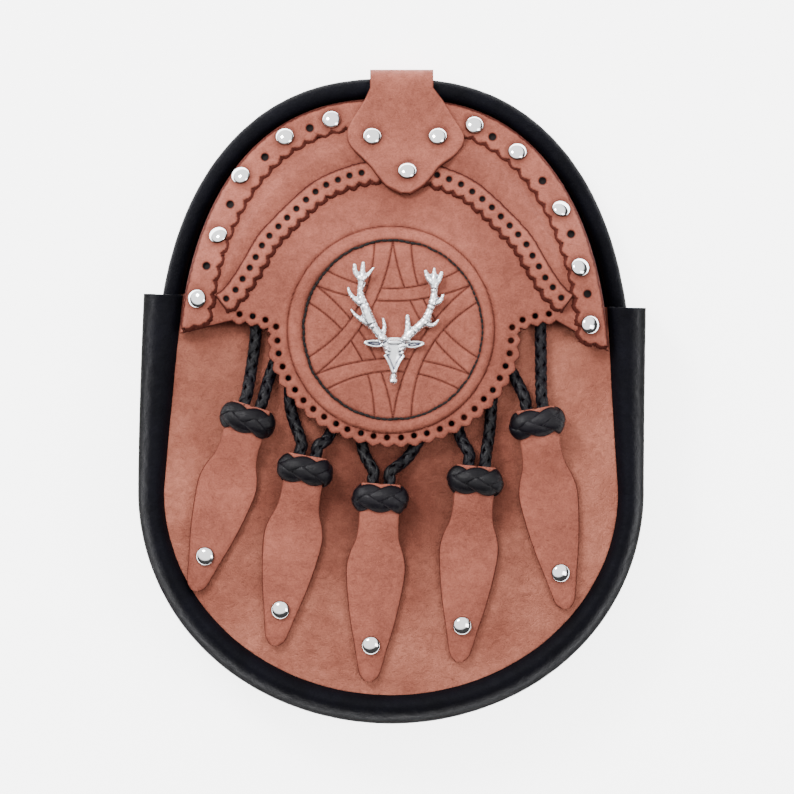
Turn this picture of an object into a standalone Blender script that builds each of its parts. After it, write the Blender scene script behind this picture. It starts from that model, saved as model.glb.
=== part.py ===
"""A leather sporran pouch, lying on its back with its front face up.

Metres. +X is the right of the front face, +Y its top and +Z straight out of it. The origin is the middle of
the whole outline, on the surface that the pouch lies on.
"""

import math

import bmesh
import bpy
import numpy as np
from mathutils import Matrix, Vector

MM = 0.001

# Seams and seats
GAP = 0.3 * MM
EDGE_GAP = 0.5 * MM
WELD = 0.001 * MM
FLAT_ANGLE = 0.01

# Body outline, about the origin
BODY_X = -0.2 * MM
BODY_HALF_WIDTH = 98.7 * MM
BODY_BOTTOM = 127.2 * MM
BODY_WAIST = 38.0 * MM
BODY_TOP_LEFT = 96.6 * MM
BODY_TOP_RIGHT = 99.3 * MM
BODY_TAPER = 1.6
LEFT_CORNER = 39.6 * MM
RIGHT_CORNER = 34.0 * MM

# Arched top and the roll that edges it
ARCH_X = 0.8 * MM
ARCH_HALF_WIDTH = 92.8 * MM
ARCH_TOP = 123.8 * MM
ARCH_SPRING = -10.0 * MM
ARCH_POWER = 2.45
ROLL_DIAMETER = 7.5 * MM
ROLL_CENTRE = 10.0 * MM

# Gusset and pocket
LEATHER = 2.0 * MM
BODY_DEPTH = 36.0 * MM
RIM_HEIGHT = 32.0 * MM
RIM_REACH = 9.6 * MM
CORNER_REACH = 15.0 * MM
FRONT_CROWN = 7.0 * MM
CROWN_POWER = 3.2
BACK_THICKNESS = 2.5 * MM

# Belt loops on the back
LOOP_GAP = 5.0 * MM
LOOP_OPENING = 34.0 * MM
LOOP_WIDTH = 30.0 * MM
LOOP_X = 45.0 * MM
LOOP_Y = 58.0 * MM

# Flap
FLAP_THICKNESS = 2.5 * MM
FLAP_LIFT = 5.5 * MM
LATTICE = 16.0 * MM
DROOP_POWER = 4.0
MEDALLION_X = 1.0 * MM
MEDALLION_Y = 25.4 * MM
MEDALLION_HALF_WIDTH = 46.2 * MM
MEDALLION_DROP = 41.9 * MM
MEDALLION_HOLES = 34
SCALLOP_MARGIN = 2.9 * MM
SCALLOP_DEPTH = 1.0 * MM
SMALL_HOLE = 2.2 * MM
LARGE_HOLE = 2.9 * MM
HOLE_SIDES = 6

# Trims on the flap
TRIM_THICKNESS = 2.0 * MM
TRIM_MARGIN = 0.6 * MM
TRIM_WIDTH = 10.0 * MM
TRIM_RIVET_INSET = 5.8 * MM
TRIM_TAB_LEFT = 5.0 * MM
TRIM_TAB_RIGHT = 3.9 * MM
TRIM_LEFT_END = 27.0 * MM
TRIM_RIGHT_END = 20.0 * MM
TRIM_END_SLANT = 1.0 * MM
BAND_WIDTH = 7.8 * MM
BAND_TOP_MARGIN = 36.6 * MM
BAND_SIDE_MARGIN = 25.6 * MM
BAND_FOOT = 35.8 * MM
BAND_X = 1.2 * MM
BAND_HOLES_A_SIDE = 16
BAND_PLAIN_PITCHES = 4

# Hanger tab over the top roll
TAB_X = 5.5 * MM
TAB_HALF_WIDTH = 22.8 * MM
TAB_TOP = 127.2 * MM
TAB_DROP = 48.4 * MM
TAB_BACK = 22.0 * MM
TAB_CLEARANCE = 0.66 * MM
TAB_BEND_DROP = 0.1

# Rivets
RIVET_DIAMETER = 7.3 * MM
RIVET_HEIGHT = 2.0 * MM

# Stag badge
BADGE_X = 1.0 * MM
BADGE_Y = 4.3 * MM
BADGE_HEIGHT = 45.0 * MM
BADGE_THICKNESS = 3.6 * MM
ANTLER_DIAMETER = 3.0 * MM
TINE_SHARE = 0.8
TIP_SHARE = 0.55

# Tassels
KNOT_WIDTH = 22.8 * MM
KNOT_HEIGHT = 11.0 * MM
KNOT_WALL = 3.4 * MM
NECK_THICKNESS = 4.6 * MM
NECK_RIM = 0.8 * MM
TONGUE_LENGTH = 70.7 * MM
TONGUE_WIDTH = 23.2 * MM
TONGUE_THICKNESS = 2.6 * MM
TONGUE_RIVET = 14.0 * MM
CORD_DIAMETER = 4.3 * MM
CORD_STRAIGHT = 3.2 * MM
CORD_CLEARANCE = 1.1 * MM
CORD_SPACING = 6.6 * MM
CORD_RISE = 9.0 * MM

# Section of the gusset from the back seam round to the front seam: inset from the outline as a share of
# RIM_REACH, and height as a share of BODY_DEPTH.
GUSSET_SECTION = (
    (1.00, 0.20),
    (0.76, 0.20),
    (0.62, 0.08),
    (0.36, 0.00),
    (0.12, 0.04),
    (0.00, 0.20),
    (0.00, 0.70),
    (0.12, 0.86),
    (0.34, 0.97),
    (0.60, 1.00),
    (0.84, 0.96),
)

# Fall of the flap from its hinge to its lower edge: height up the front as a share of ARCH_TOP, and how far
# it has risen as a share of its full rise.
FLAP_RISE = (
    (0.91, 0.00),
    (0.85, 0.07),
    (0.78, 0.18),
    (0.72, 0.31),
    (0.65, 0.44),
    (0.59, 0.58),
    (0.52, 0.73),
    (0.46, 0.86),
    (0.41, 0.95),
    (0.34, 0.99),
    (0.28, 1.00),
)

# Droop of the flap's side edge below its middle, by height up the front as a share of ARCH_TOP.
FLAP_DROOP = ((0.91, 0.0), (0.78, 0.10), (0.65, 0.25), (0.46, 0.28), (0.20, 0.265))

# The left end of the flap's hole line, from the shoulder to the medallion, about the medallion's middle: across
# as a share of MEDALLION_HALF_WIDTH and up as a share of MEDALLION_DROP.
HOLE_SHOULDER = ((1.36, 0.150), (1.18, 0.126), (1.00, 0.036))

# Rivets and holes by turns up each side of the outer trim: place as a share of the way from its end to the tab,
# and how far out from its middle line as a share of TRIM_WIDTH, on the left and then on the right.
TRIM_PLACES = (
    (0.102, 0.08, 0.073, -0.06),
    (0.231, 0.00, 0.191, 0.02),
    (0.356, -0.08, 0.296, -0.04),
    (0.482, 0.00, 0.428, 0.02),
    (0.595, 0.24, 0.531, 0.05),
    (0.706, 0.00, 0.659, 0.00),
    (0.813, 0.12, 0.806, 0.02),
    (0.911, -0.04, 0.917, -0.08),
    (1.000, 0.00, 1.000, 0.02),
)

# Half of the perforated band: spread and height as shares of its full spread and rise.
BAND_HALF = (
    (0.000, 1.000),
    (0.172, 0.990),
    (0.354, 0.912),
    (0.459, 0.833),
    (0.554, 0.725),
    (0.660, 0.588),
    (0.746, 0.462),
    (0.816, 0.304),
    (0.891, 0.146),
    (0.950, 0.050),
    (1.000, 0.000),
)

# Outline of the hanger tab: drop below its top as a share of TAB_DROP, and its left and right edges as
# shares of TAB_HALF_WIDTH.
TAB_OUTLINE = (
    (0.00, -0.56, 0.40),
    (0.18, -0.65, 0.54),
    (0.25, -0.71, 0.64),
    (0.35, -0.85, 0.77),
    (0.46, -0.98, 0.92),
    (0.54, -1.00, 1.00),
    (0.62, -0.93, 0.96),
    (0.70, -0.76, 0.81),
    (0.78, -0.59, 0.57),
    (0.85, -0.48, 0.46),
    (0.93, -0.33, 0.30),
    (0.98, -0.14, 0.14),
)

# Tab rivets: across as a share of TAB_HALF_WIDTH and down as a share of TAB_DROP.
TAB_RIVETS = ((-0.57, 0.54), (0.55, 0.54), (0.03, 0.82))

# Half outline of the stag's head from nose to crown, with one ear, as shares of BADGE_HEIGHT.
STAG_HEAD = (
    (0.000, 0.000),
    (0.050, 0.007),
    (0.070, 0.038),
    (0.056, 0.080),
    (0.051, 0.122),
    (0.071, 0.200),
    (0.096, 0.267),
    (0.107, 0.316),
    (0.178, 0.304),
    (0.262, 0.360),
    (0.182, 0.404),
    (0.111, 0.382),
    (0.093, 0.413),
    (0.000, 0.427),
)

# Right antler, branch by branch, as shares of BADGE_HEIGHT.
STAG_ANTLER = (
    (
        (0.060, 0.375),
        (0.182, 0.484),
        (0.267, 0.571),
        (0.313, 0.667),
        (0.324, 0.771),
        (0.312, 0.862),
        (0.300, 0.930),
    ),
    ((0.306, 0.900), (0.345, 0.945), (0.382, 0.998)),
    ((0.302, 0.900), (0.303, 1.020)),
    ((0.300, 0.890), (0.260, 0.940), (0.231, 0.993)),
    ((0.324, 0.745), (0.368, 0.765), (0.409, 0.804)),
    ((0.262, 0.565), (0.322, 0.572), (0.374, 0.598)),
    ((0.100, 0.420), (0.099, 0.500), (0.103, 0.576)),
)

# A tassel's leather, along its axis from the knot's middle: place as a share of TONGUE_LENGTH, width as a
# share of TONGUE_WIDTH, and how much of the knot's lift is left.
TONGUE_SECTIONS = (
    (0.085, 0.67, 1.00),
    (0.150, 0.67, 0.80),
    (0.228, 0.74, 0.38),
    (0.303, 0.91, 0.10),
    (0.385, 1.00, 0.00),
    (0.520, 0.92, 0.00),
    (0.680, 0.75, 0.00),
    (0.830, 0.53, 0.00),
    (0.920, 0.41, 0.00),
    (0.970, 0.31, 0.00),
    (1.000, 0.14, 0.00),
)

# Tassels from left to right: the knot's place, the lean of the axis to the left of straight down in degrees,
# the tongue's length as a share of TONGUE_LENGTH, and the starts and flap crossings of the left and the right
# cord.
TASSELS = (
    ((-56.1, -9.8), 17.3, 0.985, ((-53.8, 32.5), (-53.0, 22.6)), ((-39.5, 26.9), (-46.6, 9.8))),
    ((-33.7, -29.4), 10.0, 0.980, ((-39.2, 11.3), (-39.4, -4.7)), ((-16.2, 3.4), (-24.4, -16.0))),
    ((-4.4, -40.4), 3.6, 1.010, ((-12.9, -2.0), (-11.2, -20.7)), ((17.9, -3.9), (7.6, -22.7))),
    ((32.6, -33.5), 5.1, 1.000, ((22.4, 6.6), (26.3, -14.6)), ((39.6, 7.8), (38.4, -12.0))),
    ((56.8, -11.0), -8.9, 1.035, ((38.2, 25.4), (47.4, 8.0)), ((57.9, 33.0), (58.2, 20.6))),
)

# A rivet cap from its top to its foot: radius as a share of half of RIVET_DIAMETER and height as a share of
# RIVET_HEIGHT.
RIVET_PROFILE = ((0.62, 0.8), (1.0, 0.2), (0.9, 0.0))

# Rings of the front panel, as shares of the way from its middle to its edge, and columns of the hanger tab, as
# shares of its width.
FRONT_RINGS = (1.0, 0.92, 0.78, 0.50)
TAB_COLUMNS = (0.0, 0.33, 0.67, 1.0)

# The tab's turn over the top roll, and the medallion's holes from its left side round to its right, in degrees.
TAB_TURN = (0, 25, 50, 70, 90, 110, 130, 155, 180)
MEDALLION_TURN = range(192, 350, 12)

# How finely pieces are faceted
OUTLINE_POINTS = 120
MOUTH_POINTS = 11
CURVE_POINTS = 6
BODY_POINTS = 33
ARCH_POINTS = 33
BAND_POINTS = 31
KNOT_SIDES = 12
KNOT_RING_SIDES = 6
TONGUE_SIDES = 8
FLAT_EDGE = 0.6
CORD_POINTS = 7
RIVET_SIDES = 10

LOOP_TOP = LOOP_GAP + LEATHER
BACK_TOP = LOOP_TOP + BACK_THICKNESS
FLAP_LOW = BACK_TOP + GAP
FLAP_HIGH = RIM_HEIGHT + FRONT_CROWN + FLAP_LIFT
TRIM_LOW = FLAP_THICKNESS + GAP
TAB_LOW = TRIM_LOW + TRIM_THICKNESS + TAB_CLEARANCE
FLAP_INSET = ROLL_DIAMETER + EDGE_GAP
NECK_WIDTH = KNOT_WIDTH - 2 * KNOT_WALL - 2 * GAP
KNOT_DEPTH = NECK_THICKNESS + 2 * KNOT_WALL + 2 * GAP
BAND_TOP = ARCH_TOP - BAND_TOP_MARGIN
BAND_SPREAD = ARCH_HALF_WIDTH - BAND_SIDE_MARGIN


def smooth_curve(points):
    """A Catmull-Rom curve through the points, in CURVE_POINTS steps between each two."""
    points = np.asarray(points, float)
    ends = np.vstack([2 * points[0] - points[1], points, 2 * points[-1] - points[-2]])
    found = []
    for a, b, c, d in zip(ends, ends[1:], ends[2:], ends[3:]):
        for t in np.arange(CURVE_POINTS) / CURVE_POINTS:
            bend = (2 * a - 5 * b + 4 * c - d) * t**2
            twist = (3 * b - a - 3 * c + d) * t**3
            found.append(0.5 * (2 * b + (c - a) * t + bend + twist))
    return np.array(found + [points[-1]])


def lengths(points):
    """The distance along the points from the first to each."""
    steps = np.linalg.norm(np.diff(points, axis=0), axis=1)
    return np.concatenate([[0.0], np.cumsum(steps)])


def at_lengths(points, wanted, values=None):
    """The places on the line through the points at these distances from its start, or its values there."""
    along = lengths(points)
    values = points if values is None else values
    return np.column_stack([np.interp(wanted, along, values[:, k]) for k in range(2)])


def resample(points, count):
    return at_lengths(points, np.linspace(0, lengths(points)[-1], count))


def inward(points):
    """The unit normals of a line round the body, towards its middle."""
    along = np.gradient(points, axis=0)
    along /= np.linalg.norm(along, axis=1)[:, None]
    normals = np.column_stack([-along[:, 1], along[:, 0]])
    side = np.sign((normals * (np.array([0.0, -BODY_WAIST]) - points)).sum(1))
    return normals * side[:, None]


def inset(points, distance):
    return points + inward(points) * np.reshape(distance, (-1, 1))


def body_outline():
    """The gusset's outline from the left corner down round the bottom to the right corner."""
    def side(corner, low, high):
        heights = np.linspace(corner, -BODY_WAIST, OUTLINE_POINTS // 4)
        share = ((heights + BODY_WAIST) / (corner + BODY_WAIST)) ** BODY_TAPER
        return np.column_stack([low + (high - low) * share, heights])

    left = side(LEFT_CORNER, BODY_X - BODY_HALF_WIDTH, -BODY_TOP_LEFT)
    right = side(RIGHT_CORNER, BODY_X + BODY_HALF_WIDTH, BODY_TOP_RIGHT)
    turn = np.linspace(0, math.pi, OUTLINE_POINTS + 1)[1:-1]
    across = BODY_X - BODY_HALF_WIDTH * np.cos(turn)
    bottom = np.column_stack([across, -BODY_WAIST - (BODY_BOTTOM - BODY_WAIST) * np.sin(turn)])
    return np.vstack([left, bottom, right[::-1]])


def arch_outline(distance, left_end, right_end):
    """The arched top's outline, that far inside the roll's outer edge, from the left end to the right end."""
    turn = np.linspace(math.pi, 0, 2 * OUTLINE_POINTS + 1)
    power = 2 / ARCH_POWER
    line = np.column_stack(
        [
            ARCH_X + ARCH_HALF_WIDTH * np.sign(np.cos(turn)) * np.abs(np.cos(turn)) ** power,
            ARCH_SPRING + (ARCH_TOP - ARCH_SPRING) * np.abs(np.sin(turn)) ** power,
        ]
    )
    line = inset(resample(line, 2 * OUTLINE_POINTS + 1), distance)
    top = int(line[:, 1].argmax())
    left, right = line[: top + 1], line[top:][::-1]
    first = [np.interp(left_end, left[:, 1], left[:, 0]), left_end]
    last = [np.interp(right_end, right[:, 1], right[:, 0]), right_end]
    left = left[left[:, 1] > left_end + GAP]
    right = right[right[:, 1] > right_end + GAP][::-1]
    return np.vstack([[first], left, right[1:], [last]])


def rim_reach(height):
    """How far the gusset's front roll reaches in from the outline at that height up the front."""
    return np.interp(height, (-BODY_WAIST, LEFT_CORNER), (RIM_REACH, CORNER_REACH))


def front_height(x, y):
    """The height of the front panel's outer face."""
    reach = rim_reach(y) + GAP
    below = np.clip((-BODY_WAIST - y) / (BODY_BOTTOM - BODY_WAIST - reach), 0, None)
    share = np.minimum(np.hypot(np.abs(x) / (BODY_HALF_WIDTH - reach), below), 1.0)
    return RIM_HEIGHT + FRONT_CROWN * (1 - share**CROWN_POWER)


def flap_form(x, y):
    """The height of the flap's underside as a smooth form: it rises from the hinge and droops to its sides."""
    up = y / ARCH_TOP
    rise = np.interp(-up, [-row[0] for row in FLAP_RISE], [row[1] for row in FLAP_RISE])
    droop = np.interp(-up, [-row[0] for row in FLAP_DROOP], [row[1] for row in FLAP_DROOP])
    high = max(up - ARCH_SPRING / ARCH_TOP, 0) / (1 - ARCH_SPRING / ARCH_TOP)
    half = (ARCH_HALF_WIDTH - FLAP_INSET) * max(1 - high**ARCH_POWER, 0.01) ** (1 / ARCH_POWER)
    across = min(abs(x - ARCH_X) / half, 1.1)
    return FLAP_LOW + (FLAP_HIGH - FLAP_LOW) * (rise - droop * across**DROOP_POWER)


def flap_height(x, y):
    """flap_form made of flat triangles on a lattice, so that every layer on the flap can follow it exactly."""
    i, j = math.floor(x / LATTICE), math.floor(y / LATTICE)
    right, up = x / LATTICE - i, y / LATTICE - j
    low_right = flap_form((i + 1) * LATTICE, j * LATTICE)
    high_left = flap_form(i * LATTICE, (j + 1) * LATTICE)
    if right + up <= 1:
        corner = flap_form(i * LATTICE, j * LATTICE)
        return corner + right * (low_right - corner) + up * (high_left - corner)
    corner = flap_form((i + 1) * LATTICE, (j + 1) * LATTICE)
    return corner + (1 - right) * (high_left - corner) + (1 - up) * (low_right - corner)


def material(name, colour, roughness, metallic=0.0):
    made = bpy.data.materials.new(name)
    made.use_nodes = True
    shader = made.node_tree.nodes["Principled BSDF"]
    shader.inputs["Base Color"].default_value = (*colour, 1.0)
    shader.inputs["Roughness"].default_value = roughness
    shader.inputs["Metallic"].default_value = metallic
    made.diffuse_color = (*colour, 1.0)
    return made


def collection(name):
    made = bpy.data.collections.new(name)
    bpy.context.scene.collection.children.link(made)
    return made


def add(name, mesh, finish):
    """A part of the pouch, from its mesh."""
    made = bpy.data.objects.new(name, mesh)
    mesh.materials.clear()
    mesh.materials.append(finish)
    PARTS.objects.link(made)
    return made


def mesh_from(name, points, faces):
    mesh = bpy.data.meshes.new(name)
    mesh.from_pydata([tuple(map(float, p)) for p in points], [], faces)
    mesh.update()
    return mesh


def mesh_of_curve(made):
    """The curve's mesh, with its caps welded to its sides; the curve is removed."""
    bpy.context.scene.collection.objects.link(made)
    bpy.context.view_layer.update()
    evaluated = made.evaluated_get(bpy.context.evaluated_depsgraph_get())
    mesh = bpy.data.meshes.new_from_object(evaluated)
    shape = bmesh.new()
    shape.from_mesh(mesh)
    bmesh.ops.remove_doubles(shape, verts=shape.verts, dist=WELD)
    shape.to_mesh(mesh)
    shape.free()
    mesh.transform(made.matrix_world)
    bpy.data.objects.remove(made)
    return mesh


def sheet_mesh(outlines, thickness, matrix=None):
    """A flat sheet with its lower face at zero, inside the first outline and outside the others."""
    data = bpy.data.curves.new("sheet", "CURVE")
    data.dimensions = "2D"
    data.fill_mode = "BOTH"
    data.extrude = thickness / 2
    for outline in outlines:
        spline = data.splines.new("POLY")
        spline.points.add(len(outline) - 1)
        for point, (x, y) in zip(spline.points, outline):
            point.co = (x, y, 0, 1)
        spline.use_cyclic_u = True
    made = bpy.data.objects.new("sheet", data)
    made.matrix_world = (matrix or Matrix.Identity(4)) @ Matrix.Translation((0, 0, thickness / 2))
    return mesh_of_curve(made)


def tube_mesh(points, radii, resolution):
    """A round tube along the points, with flat ends."""
    data = bpy.data.curves.new("tube", "CURVE")
    data.dimensions = "3D"
    data.bevel_depth = 1.0
    data.bevel_resolution = resolution
    data.use_fill_caps = True
    spline = data.splines.new("POLY")
    spline.points.add(len(points) - 1)
    for point, place, radius in zip(spline.points, points, radii):
        point.co = (*place, 1)
        point.radius = radius
    return mesh_of_curve(bpy.data.objects.new("tube", data))


def ring(x, y, radius, sides):
    turn = np.arange(sides) * 2 * math.pi / sides
    return np.column_stack([x + radius * np.cos(turn), y + radius * np.sin(turn)])


def solidify(made, thickness):
    """Gives an open surface its leather on the side away from its normals."""
    modifier = made.modifiers.new("leather", "SOLIDIFY")
    modifier.thickness = thickness
    modifier.offset = -1
    modifier.use_even_offset = True


def drape(mesh, lift):
    """Cuts a flat sheet along the flap's lattice and lays it on the flap at that lift."""
    shape = bmesh.new()
    shape.from_mesh(mesh)
    reach = math.ceil(2 * ARCH_TOP / LATTICE)
    for normal in ((1, 0, 0), (0, 1, 0), (1, 1, 0)):
        for k in range(-reach, reach + 1):
            place = Vector(normal) * (k * LATTICE / Vector(normal).length_squared)
            cut = bmesh.ops.bisect_plane(
                shape,
                geom=shape.verts[:] + shape.edges[:] + shape.faces[:],
                dist=WELD,
                plane_co=place,
                plane_no=normal,
            )
            for part in cut["geom_cut"]:
                if isinstance(part, bmesh.types.BMEdge):
                    part.seam = True
    bmesh.ops.dissolve_limit(
        shape, angle_limit=FLAT_ANGLE, verts=shape.verts[:], edges=shape.edges[:], delimit={"SEAM"}
    )
    bmesh.ops.triangulate(shape, faces=shape.faces[:])
    bmesh.ops.recalc_face_normals(shape, faces=shape.faces[:])
    for vert in shape.verts:
        vert.co.z += flap_height(vert.co.x, vert.co.y) + lift
        vert.select = False
    for edge in shape.edges:
        edge.seam = False
    shape.to_mesh(mesh)
    shape.free()
    return mesh


def make_back_panel():
    """The panel between the gusset's back lips, clear of the corner walls, which lean in to the front."""
    body = resample(body_outline(), BODY_POINTS)
    lip = GUSSET_SECTION[0][1] * BODY_DEPTH
    lean = (BACK_TOP - lip) / (RIM_HEIGHT - lip)
    body = inset(body, RIM_REACH + (rim_reach(body[:, 1]) - RIM_REACH) * lean + GAP)
    arch = arch_outline(ROLL_DIAMETER + EDGE_GAP, LEFT_CORNER, RIGHT_CORNER)
    outline = np.vstack([body, resample(arch, ARCH_POINTS)[::-1]])
    lift = Matrix.Translation((0, 0, LOOP_TOP))
    add("back_panel", sheet_mesh([outline], BACK_THICKNESS, lift), TAN)


def make_top_roll():
    clear = 2 * EDGE_GAP
    ends = LEFT_CORNER + clear, RIGHT_CORNER + clear
    line = resample(arch_outline(ROLL_DIAMETER / 2, *ends), ARCH_POINTS)
    points = [(x, y, ROLL_CENTRE) for x, y in line]
    add("top_roll", tube_mesh(points, [ROLL_DIAMETER / 2] * len(points), 2), BLACK)


def make_gusset():
    line = resample(body_outline(), BODY_POINTS)
    normals = inward(line)
    section = [(reach, BODY_DEPTH * height) for reach, height in GUSSET_SECTION]
    section.append((1.0, RIM_HEIGHT))
    count = len(section)
    front = count // 2
    points = []
    for (x, y), normal in zip(line, normals):
        for k, (reach, height) in enumerate(section):
            deep = reach * (rim_reach(y) if k > front else RIM_REACH)
            points.append((x + normal[0] * deep, y + normal[1] * deep, height))
    faces = [
        (i * count + j, (i + 1) * count + j, (i + 1) * count + j + 1, i * count + j + 1)
        for i in range(len(line) - 1)
        for j in range(count - 1)
    ]
    last = (len(line) - 1) * count
    faces.append(tuple(range(count)))
    faces.append(tuple(last + j for j in reversed(range(count))))
    gusset = add("gusset", mesh_from("gusset", points, faces), BLACK)
    solidify(gusset, LEATHER)


def make_front_panel():
    body = resample(body_outline(), BODY_POINTS)
    edge = inset(body, rim_reach(body[:, 1]) + GAP)
    mouth = np.linspace(edge[-1], edge[0], MOUTH_POINTS + 2)[1:-1]
    loop = np.vstack([edge, mouth])
    middle = np.array([0.0, -BODY_WAIST])
    points = []
    for share in FRONT_RINGS:
        for x, y in middle + share * (loop - middle):
            points.append((x, y, front_height(x, y)))
    points.append((*middle, front_height(*middle)))
    count = len(loop)
    inner = (len(FRONT_RINGS) - 1) * count
    faces = []
    for start in range(0, inner, count):
        for i in range(count):
            n = (i + 1) % count
            faces.append((start + i, start + n, start + count + n, start + count + i))
    for i in range(count):
        faces.append((inner + i, inner + (i + 1) % count, inner + count))
    panel = add("front_panel", mesh_from("front_panel", points, faces), TAN)
    solidify(panel, LEATHER)


def make_belt_loops():
    half = LOOP_OPENING / 2
    high = LOOP_TOP - GAP
    profile = [
        (-half - LEATHER, 0),
        (half + LEATHER, 0),
        (half + LEATHER, high),
        (half, high),
        (half, LEATHER),
        (-half, LEATHER),
        (-half, high),
        (-half - LEATHER, high),
    ]
    across = Matrix(((0, 0, 1, 0), (1, 0, 0, 0), (0, 1, 0, 0), (0, 0, 0, 1)))
    for name, x in (("belt_loop_left", -LOOP_X), ("belt_loop_right", LOOP_X)):
        place = Matrix.Translation((x - LOOP_WIDTH / 2, LOOP_Y, 0)) @ across
        add(name, sheet_mesh([profile], LOOP_WIDTH, place), TAN)


def hole_line():
    """The line of the flap's lower holes: along the left shoulder, round the medallion, along the right one."""
    turn = np.radians(MEDALLION_TURN)
    around = [(math.cos(a), math.sin(a)) for a in turn]
    left = [(-across, up) for across, up in HOLE_SHOULDER]
    shares = np.array([*left, *around, *HOLE_SHOULDER[::-1]])
    points = shares * [MEDALLION_HALF_WIDTH, MEDALLION_DROP] + [MEDALLION_X, MEDALLION_Y]
    return resample(smooth_curve(points), 3 * OUTLINE_POINTS)


def make_flap():
    line = hole_line()
    total = lengths(line)[-1]
    pitch = total / MEDALLION_HOLES
    centres = at_lengths(line, (np.arange(MEDALLION_HOLES) + 0.5) * pitch)
    along = np.arange(3 * MEDALLION_HOLES + 1) * pitch / 3
    swell = np.abs(np.sin(math.pi * along / pitch))
    outward = np.gradient(line, axis=0)
    outward = np.column_stack([outward[:, 1], -outward[:, 0]])
    outward /= np.linalg.norm(outward, axis=1)[:, None]
    normals = at_lengths(line, along, outward)
    scallops = at_lengths(line, along) + normals * (SCALLOP_MARGIN + SCALLOP_DEPTH * swell)[:, None]
    arch = arch_outline(FLAP_INSET, TRIM_LEFT_END, TRIM_RIGHT_END)
    outline = np.vstack([resample(arch, ARCH_POINTS)[::-1], scallops])
    holes = [ring(x, y, SMALL_HOLE / 2, HOLE_SIDES) for x, y in centres]
    add("flap", drape(sheet_mesh([outline, *holes], FLAP_THICKNESS), 0.0), TAN)


def trim_places():
    """The outer trim's rivets and holes."""
    line = arch_outline(FLAP_INSET + TRIM_RIVET_INSET, TRIM_LEFT_END, TRIM_RIGHT_END)
    table = np.array(TRIM_PLACES)
    places = []
    for half, edge, (share, out) in (
        (line, TAB_X - TAB_HALF_WIDTH - TRIM_TAB_LEFT, table[:, :2].T),
        (line[::-1], TAB_X + TAB_HALF_WIDTH + TRIM_TAB_RIGHT, table[:, 2:].T),
    ):
        side = np.sign(edge - TAB_X)
        up_to_tab = lengths(half[(half[:, 0] - edge) * side > 0])[-1]
        normals = at_lengths(half, share * up_to_tab, inward(half))
        places.append(at_lengths(half, share * up_to_tab) - normals * out[:, None] * TRIM_WIDTH)
    return np.vstack([row[::2] for row in places]), np.vstack([row[1::2] for row in places])


def make_trims():
    outer = FLAP_INSET + TRIM_MARGIN
    low = TRIM_LEFT_END - TRIM_END_SLANT, TRIM_RIGHT_END - TRIM_END_SLANT
    high = TRIM_LEFT_END + TRIM_END_SLANT, TRIM_RIGHT_END + TRIM_END_SLANT
    edge = resample(arch_outline(outer, *low), ARCH_POINTS)
    back = resample(arch_outline(outer + TRIM_WIDTH, *high), ARCH_POINTS)
    holes = [ring(x, y, LARGE_HOLE / 2, HOLE_SIDES) for x, y in trim_places()[1]]
    outline = np.vstack([edge, back[::-1]])
    mesh = drape(sheet_mesh([outline, *holes], TRIM_THICKNESS), TRIM_LOW)
    add("flap_trim_outer", mesh, TAN)

    rise = BAND_TOP - BAND_FOOT
    half = [(BAND_SPREAD * spread, BAND_FOOT + rise * high) for spread, high in BAND_HALF]
    line = np.array([(-x, y) for x, y in half[:0:-1]] + half) + [BAND_X, 0]
    line = resample(smooth_curve(line), BAND_POINTS)
    normals = inward(line)
    total = lengths(line)[-1]
    pitch = total / (2 * BAND_HOLES_A_SIDE + BAND_PLAIN_PITCHES)
    steps = (np.arange(BAND_HOLES_A_SIDE) + 0.5) * pitch
    steps = np.concatenate([steps, total - steps])
    centres = at_lengths(line - normals * SCALLOP_DEPTH / 2, steps)
    outline = np.vstack([line - normals * BAND_WIDTH / 2, (line + normals * BAND_WIDTH / 2)[::-1]])
    holes = [ring(x, y, SMALL_HOLE / 2, HOLE_SIDES) for x, y in centres]
    mesh = drape(sheet_mesh([outline, *holes], TRIM_THICKNESS), TRIM_LOW)
    add("flap_trim_arch", mesh, TAN)


def tab_height(y):
    """The outer face of the hanger tab where it lies on the flap."""
    return flap_height(0.0, y) + TAB_LOW + LEATHER


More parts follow.
